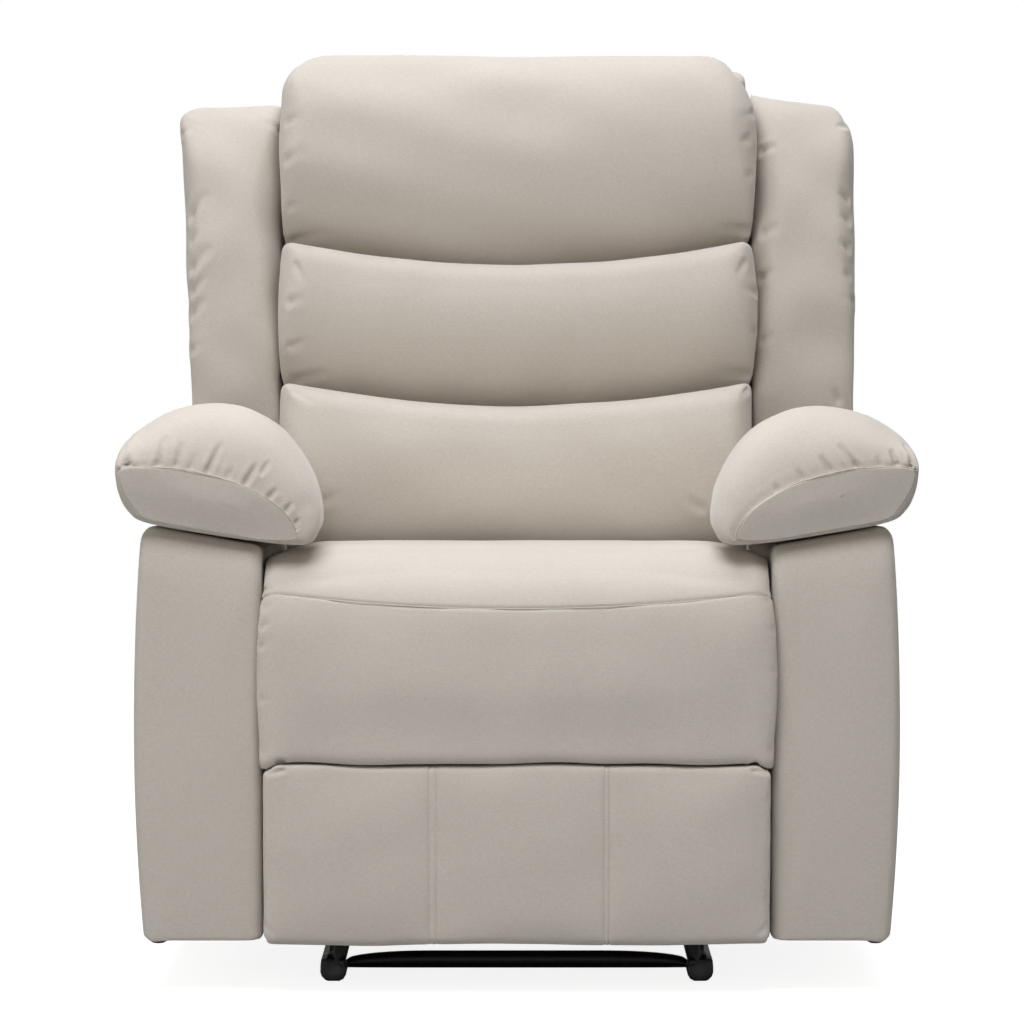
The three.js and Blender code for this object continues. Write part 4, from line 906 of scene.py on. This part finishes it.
def arm(side):
    r = 15
    front = ARM_FRONT + 2
    shares = (0, 0.06, 0.16, 0.3, 0.48, 0.7, 1)
    rounding = [(share, r * (1 - math.sqrt(1 - (1 - share) ** 2))) for share in shares]
    stations = [(front + r * share, inset) for share, inset in rounding]
    stations += [(y, 0) for y in np.linspace(front + r + 12, ARM_REAR - r - 12, 46)]
    stations += [(ARM_REAR - r * share, inset) for share, inset in rounding[::-1]]
    rings = [arm_ring(y, inset) for y, inset in stations]
    # the flat ends are drawn shut in steps, so that they can swell a little
    steps = [(share, 4 * (1 - share ** 2)) for share in (0.12, 0.3, 0.5, 0.7, 0.88)]
    first = [shrunk(rings[0], share) - [0, swell, 0] for share, swell in steps]
    last = [shrunk(rings[-1], share) + [0, swell, 0] for share, swell in steps[::-1]]
    rings = first + rings + last
    points, faces = ring_skin(rings)
    x, y, z = points.T.copy()
    roll = np.clip((z - arm_top(x, y) + 60) / 60, 0, 1) ** 2
    points[:, 1] += 13 * roll * np.clip((ARM_FRONT + 40 - y) / 40, 0, 1)
    # the lower outer corner hangs a little in front of its glide
    corner = np.exp(-((x - ARM_INNER - ARM_WIDTH + 16) / 9) ** 2)
    corner *= np.clip((ARM_BOTTOM + 14 - z) / 14, 0, 1)
    points[:, 2] -= 4.5 * corner * np.clip((ARM_FRONT + 10 - points[:, 1]) / 6, 0, 1)
    points = points * [side, 1, 1]
    points, faces = smoothed(points, oriented(points, faces))
    node_name = "arm_cover_right" if side > 0 else "arm_cover_left"
    cover(node_name, points, faces, "chassis", name=node_name + "_cloth")


def nail_glides():
    """The small plastic glides nailed under the outer corners of the arms."""
    x = ARM_INNER + ARM_WIDTH - 27
    angles = 2 * math.pi * np.arange(20) / 20
    circle = np.stack([np.cos(angles), np.sin(angles), 0 * angles], axis=1)
    for side, name in ((-1, "left"), (1, "right")):
        parts = []
        for y in (ARM_FRONT + 17, ARM_REAR - 26):
            rings = [circle * radius + [side * x, y, ARM_BOTTOM - down]
                     for radius, down in ((9, 0.3), (9.2, 1.4), (8.4, 3.2), (6, 4.4), (3, 4.9))]
            parts.append(ring_skin(rings))
        piece("nail_glides_" + name, *joined(parts), plastic, "chassis", "plastic")


GLIDE_X = 209
GLIDE_OUTLINE = [
    (6.8, 0), (11.5, 2.6), (14.2, 7), (15.4, 12), (15.2, 16), (13.2, 18.5), (13.2, 24), (16.9, 44),
    (1.8, 44), (-1.6, 30.6), (-3, 29.6), (-6.6, 28.9), (-7.4, 25.6), (-12.4, 25.2), (-14.3, 23.4),
    (-14.9, 17), (-15, 10), (-13.2, 5), (-9, 1), (-6, 0)]
GLIDE_STATIONS = (
    (0, 2.4), (0.012, 1.2), (0.035, 0.35), (0.07, 0), (0.3, 0), (0.6, 0), (0.9, 0), (0.98, 0.4), (1, 1.4))
BAR_HALVES = ((0, 3.2), (3, 4.8), (8, 6.4), (19, 7.6), (34, 8.6), (51, 9.3), (70, 9.8), (95, 10))


def front_glides():
    """The moulded front feet: a rounded cap over the rail's end, and the upright that leans from it."""
    knots = []
    for a, b in zip(GLIDE_OUTLINE, GLIDE_OUTLINE[1:] + GLIDE_OUTLINE[:1]):
        steps = max(int(math.dist(a, b) / 2.2), 1)
        knots += [(a[0] + (b[0] - a[0]) * k / steps, a[1] + (b[1] - a[1]) * k / steps) for k in range(steps)]
    outline = np.array(knots)
    spokes = outline - [0.5, 13]
    spokes /= np.linalg.norm(spokes, axis=1)[:, None]
    rear = -304
    for side, name in ((-1, "glide_front_left"), (1, "glide_front_right")):
        rings = []
        for share, inset in GLIDE_STATIONS:
            across, height = (outline - spokes * inset).T
            front = -346.5 + 10 * smoothstep((height - 24) / 4)
            y = front + (rear - front) * share
            rings.append(np.stack([side * (GLIDE_X - across), y, np.maximum(height, 0)], axis=1))
        piece(name + "_cap", *ring_skin(rings), plastic, "base", "plastic", [name])


def cross_bar():
    """The front tube, pressed flat where it meets the rails."""
    reach = 198.5
    radius = 10
    angles = 2 * math.pi * np.arange(28) / 28
    rings = []
    for x in reach * ease(np.linspace(-1, 1, 61)):
        half = np.interp(reach - abs(x), *zip(*BAR_HALVES))
        z = 16.6 - (radius - half) * 0.9 + half * np.sin(angles)
        rings.append(np.stack([np.full(28, x), -289 + radius * np.cos(angles), z], axis=1))
    piece("cross_tube_front_pressed", *ring_skin(rings), steel, "base", "steel", ["cross_tube_front"])


# Arm pillows: the section at full size, the front panel inside it, and how deep the nose is between them

PAD_FULL = [
    (449, 588), (446, 606), (434, 624), (417, 637), (393, 650), (366, 657), (338, 659.5), (310, 657),
    (286, 648), (263, 632), (243, 608), (229, 582), (220.5, 554), (218, 535), (221, 517), (231, 504.5),
    (258, 503), (334, 513), (411, 527.5), (433, 541.5), (444.5, 563)]
PAD_PANEL = [
    (443, 584.5), (439, 588.5), (430, 590.6), (416, 591), (395, 590), (369, 588), (342, 582),
    (318, 575), (298, 567.5), (280, 557), (265, 546.5), (255, 537), (248, 526), (244, 518), (243, 511),
    (248, 506), (268, 504.5), (336, 515.5), (405, 529), (423, 543), (437, 564.5)]
PAD_NOSE = [24, 40, 66, 88, 96, 96, 96, 96, 92, 88, 80, 70, 56, 44, 34, 26, 26, 26, 26, 22, 22]
PAD_COUNT = 176
PAD_FRONT = -454
PAD_REAR = 136
PAD_END = 44
PAD_LIP = 4
LEFT_PAD_FOLDS = (
    (127, 466, 134, 434, 8, 4.2), (158, 466, 166, 436, 5, 3.6), (176, 468, 183, 441, 4, 3.6),
    (206, 475, 222, 442, 6.5, 3.2), (243, 487, 258, 463, 6, 3.2), (267, 500, 278, 488, 4.5, 3),
    (283, 516, 292, 502, 4.5, 3), (292, 528, 300, 518, 3.5, 2.8), (262, 472, 270, 461, 2.5, 3),
    (190, 470, 196, 454, 2, 3.2), (226, 480, 234, 466, 2, 3))
RIGHT_PAD_FOLDS = (
    (899, 471, 891, 449, 8, 3.2), (862, 474, 838, 444, 9, 3.2), (834, 476, 820, 456, 7, 3.2),
    (912, 467, 903, 443, 7, 3), (806, 484, 796, 468, 5, 3), (783, 497, 773, 484, 6, 3),
    (762, 515, 753, 505, 4.5, 3), (748, 533, 740, 525, 3, 2.8), (882, 472, 877, 455, 3, 3.2),
    (848, 474, 841, 462, 2, 3))


def pad_tuck(z):
    """How far the front panel steps back towards its lower edge."""
    return 18 * np.clip((590 - z) / 86, 0, 1)


def pad_front_ring(panel, share):
    """A ring of the front panel, shrunk towards its middle, with the panel's crown."""
    across, height = shrunk(panel, share).T
    off_x, off_z = across - panel[:, 0].mean(), height - panel[:, 1].mean()
    crown = 4 * np.exp(-(off_x / 72) ** 2 - ((off_z - 0.25 * off_x) / 26) ** 2)
    return np.stack([across, PAD_FRONT - crown + pad_tuck(height), height], axis=1)


def pad_ring(full, panel, nose, y):
    """The section at this depth: it grows from the panel over the nose, and closes at the rear end."""
    share = np.clip((y - PAD_FRONT) / nose, 0, 1)
    rise = np.sqrt(1 - (1 - share) ** 2)[:, None]
    ring = panel * (1 - rise) + full * rise
    draw_share = min(max((y + 70) / 155, 0), 1)
    draw = max(86 * (1 - math.sqrt(1 - draw_share ** 2)), 18 * smoothstep((y + 400) / 330))
    x = ring[:, 0] + draw * (447 - ring[:, 0]) / 229
    z = ring[:, 1] - arm_fall(y)
    base = arm_top(np.maximum(x, ARM_INNER), y) - 0.2 * np.maximum(ARM_INNER - x, 0)
    tail_share = max((y - (PAD_REAR - 150)) / 150, 0)
    z = base + (z - base) * (1 - 0.3 * (1 - math.sqrt(max(1 - tail_share ** 4, 0))))
    if y > PAD_REAR - PAD_END:
        end = math.sqrt(max(1 - ((y - PAD_REAR + PAD_END) / PAD_END) ** 2, 0)) * 0.3 + 0.7
        x = x.mean() + (x - x.mean()) * end
        z = z.mean() + (z - z.mean()) * end
    lip = PAD_LIP * (1 - math.sqrt(1 - max(1 - (y - PAD_FRONT) / PAD_LIP, 0) ** 2))
    z = np.maximum(z, base + 0.6 + lip)
    depth = y + pad_tuck(panel[:, 1]) * max(1 - (y - PAD_FRONT) / 60, 0)
    return np.stack([x, depth, z], axis=1)


def arm_pad(side):
    count = PAD_COUNT
    full = spline(PAD_FULL, count)
    full[:, 1] += (5 if side < 0 else 1.5) * np.clip((full[:, 1] - 585) / 75, 0, 1) ** 1.5
    panel = spline(PAD_PANEL, count)
    foot = arm_top(np.maximum(panel[:, 0], ARM_INNER), PAD_FRONT) + 0.6 + PAD_LIP
    panel[:, 1] = foot + np.logaddexp(0, (panel[:, 1] - foot) / 3) * 3
    nose = spline([(n, 0) for n in PAD_NOSE], count)[:, 0]
    shares = (0.1, 0.24, 0.38, 0.52, 0.66, 0.78, 0.88, 0.95, 0.975, 0.99)
    rings = [pad_front_ring(panel, share) for share in shares]
    seam_ring = len(rings)
    steps = (0, 0.9, 1.9, 3.2, 5, 7.5, 10.5, 14, 18, 22, 26.5, 31, 36, 41, 47, 53, 60, 68, 77, 88)
    stations = [PAD_FRONT + step for step in steps]
    stations += list(np.linspace(PAD_FRONT + 100, PAD_REAR - PAD_END - 8, 46))
    stations += [PAD_REAR - PAD_END * math.cos(a) for a in np.linspace(0, math.pi / 2, 9)]
    rings += [pad_ring(full, panel, nose, y) for y in stations]
    points, faces = ring_skin(rings)
    ring_of = np.arange(len(points)) // count - 2
    place = np.arange(len(points)) % count
    points = points * [side, 1, 1]
    faces = oriented(points, faces)
    x, y, z = points.T
    base = arm_top(np.maximum(np.abs(x), ARM_INNER), y)
    last = int((13 if side < 0 else 14.8) / len(PAD_FULL) * count)
    on_seam = (np.abs(ring_of - seam_ring) <= 1) & (place <= last) & (place > 5)
    resting = (z < base + 3) & (np.abs(x) > ARM_INNER - 10)
    held = np.where(resting | (y > PAD_REAR - 12) | on_seam, 1.0, 0.0)
    ahead = np.clip((PAD_FRONT + 90 - y) / 60, 0, 1)
    foot_share = np.clip((z - base - 12) / 34, 0, 1)
    share = (1 - ahead * (1 - foot_share)) * np.where(ring_of < seam_ring, 0.35, 1)
    # the pillow starts a little thinner than drawn, and is stuffed to its size
    inward = np.where(held < 0.5, 2.4, 0) * share
    points = points - vertex_normals(points, faces) * inward[:, None]
    points = stuffed(points, faces, held, pressure=2.6, slack=0.002, cap=8, even=12, share=share)
    points = np.where((ring_of < 5)[:, None], averaged(points, faces, 40), points)
    pull = np.where(np.abs(ring_of - seam_ring) == 1, 1.3, np.where(ring_of == seam_ring, 2.6, 0))
    pull = np.where(place <= last, pull, 0)
    points = points - vertex_normals(points, faces) * pull[:, None]
    normals = vertex_normals(points, faces)
    front_line = np.arange(last + 1) + (seam_ring + 2) * count
    side_line = np.array([(r + 2) * count for r in range(seam_ring + 4, seam_ring, -1)])
    line = np.concatenate([side_line, front_line])
    seam = points[line] + normals[line] * 1.5
    for _ in range(3):
        seam[1:-1] = (seam[:-2] + 2 * seam[1:-1] + seam[2:]) / 4
    points, faces = smoothed(points, faces)
    # the puckers end at the seam, which runs over the front from the outer end
    order = np.argsort(np.abs(seam[:, 0]))
    across = np.abs(points[:, 0])
    seam_height = np.interp(across, np.abs(seam[order, 0]), seam[order, 2])
    above = np.clip((points[:, 2] - seam_height) / 2, 0, 1)
    above = np.where(across < np.abs(seam[:, 0]).min(), 1, above)
    points = lumpy(points, faces, 0.8, 90, 21 + side)
    points = folded(points, faces, RIGHT_PAD_FOLDS if side > 0 else LEFT_PAD_FOLDS, above)
    name = "arm_pad_right" if side > 0 else "arm_pad_left"
    cover(name, points, faces, "chassis")
    thread(name + "_seam", tube_skin(seam, 0.7), "chassis")


# Outside back and rear rail, taken over from the frame's solids and padded

def padded_over(node_name, name, body, voxel):
    """A cover drawn from a solid of the frame: its skin in even quads, with its edges softened."""
    scratch = placed("scratch", frame["nodes"][node_name].data.copy())
    remesh = scratch.modifiers.new("even", "REMESH")
    remesh.mode = "VOXEL"
    remesh.voxel_size = voxel / 1000
    points, faces = evaluated(scratch)
    faces = oriented(points, faces)
    points = averaged(points, faces, 4)
    cover(node_name, points, faces, body, name=name)


build_back()
build_gap_shade_sheet()
for side in (1, -1):
    wing(side)
build_seat()
build_footrest()
for build in (arm, arm_pad):
    for side in (1, -1):
        build(side)
nail_glides()
front_glides()
cross_bar()
padded_over("back_shell", "outside_back_cover", "back", 8)
padded_over("rear_rail", "rear_rail_cover", "chassis", 5)


# Finishes on the frame's own pieces

finishes = {"steel": steel, "plastic": plastic, "timber": timber, "fabric": cloth}
slots = {entry["node"]: entry["material_slot"] for entry in frame["record"]["subparts"]}
for node_name, slot_name in slots.items():
    for material_slot in frame["nodes"][node_name].material_slots:
        material_slot.material = finishes[slot_name]


# Floor, light and camera

FLOOR = [(-6, -7, -0.001), (6, -7, -0.001), (6, 9, -0.001), (-6, 9, -0.001)]
FLOOR_GLOW = 0.87

floor_mesh = bpy.data.meshes.new("floor")
floor_mesh.from_pydata(FLOOR, [], [(0, 1, 2, 3)])
placed("floor", floor_mesh)
material, tree, shader, _ = nodes_of("pale_floor", 1.0)
shader.inputs["Base Color"].default_value = (0.45, 0.45, 0.45, 1)
glow = node(tree, "ShaderNodeEmission")
to_camera = node(tree, "ShaderNodeLightPath").outputs["Is Camera Ray"]
link(tree, math_node(tree, "MULTIPLY", to_camera, FLOOR_GLOW), glow.inputs["Strength"])
both = node(tree, "ShaderNodeAddShader")
link(tree, shader.outputs["BSDF"], both.inputs[0])
link(tree, glow.outputs["Emission"], both.inputs[1])
link(tree, both.outputs["Shader"], tree.nodes["Material Output"].inputs["Surface"])
floor_mesh.materials.append(material)

world = bpy.data.worlds.new("studio")
scene.world = world
world.use_nodes = True
tree = world.node_tree
soft = tree.nodes["Background"]
soft.inputs["Color"].default_value = (1, 0.98, 0.94, 1)
soft.inputs["Strength"].default_value = 0.155
white = node(tree, "ShaderNodeBackground", in_Color=(1, 1, 1, 1), in_Strength=1)
path = node(tree, "ShaderNodeLightPath").outputs
direct = math_node(tree, "MAXIMUM", path["Is Camera Ray"], path["Is Glossy Ray"])
direct = math_node(tree, "MAXIMUM", direct, path["Is Transmission Ray"])
choose = node(tree, "ShaderNodeMixShader")
link(tree, direct, choose.inputs["Fac"])
link(tree, soft.outputs["Background"], choose.inputs[1])
link(tree, white.outputs["Background"], choose.inputs[2])
link(tree, choose.outputs["Shader"], tree.nodes["World Output"].inputs["Surface"])


def softbox(name, place, target, width, height, power, spread, tint):
    data = bpy.data.lights.new(name, "AREA")
    data.shape = "RECTANGLE"
    data.size = width
    data.size_y = height
    data.energy = power
    data.spread = math.radians(spread)
    data.color = tint
    lamp = placed(name, data)
    lamp.location = place
    lamp.rotation_euler = (Vector(target) - Vector(place)).to_track_quat("-Z", "Y").to_euler()


softbox("overhead", (-0.1, 0.2, 2.5), (0, 0.1, 0.5), 2.2, 1.5, 33, 180, (0.98, 1, 1.04))
softbox("key", (-0.2, -1.7, 2.3), (0, -0.5, 0.3), 1.6, 1.1, 10.8, 90, (0.98, 1, 1.04))
softbox("front", (-1.4, -4.5, 1.8), (0, 0, 0.4), 3.2, 1.4, 21, 180, (1, 0.98, 0.93))
softbox("left_fill", (-3.0, -0.6, 1.2), (0, 0, 0.6), 1.8, 1.6, 13, 180, (1, 1, 1))
softbox("right_fill", (3.0, -0.3, 1.1), (0, 0, 0.6), 1.8, 1.6, 7, 180, (1, 1, 1))
softbox("rear_fill", (0.4, 4.2, 1.6), (0, 0, 0.6), 2.4, 1.6, 14, 180, (1, 1, 1))

camera_data = bpy.data.cameras.new("camera")
camera_data.lens = LENS
camera_data.sensor_width = FILM
camera = placed("camera", camera_data)
camera.location = Vector(CAMERA) / 1000
camera.rotation_euler = (TILT, 0, 0)
scene.camera = camera
scene.view_settings.view_transform = "Standard"
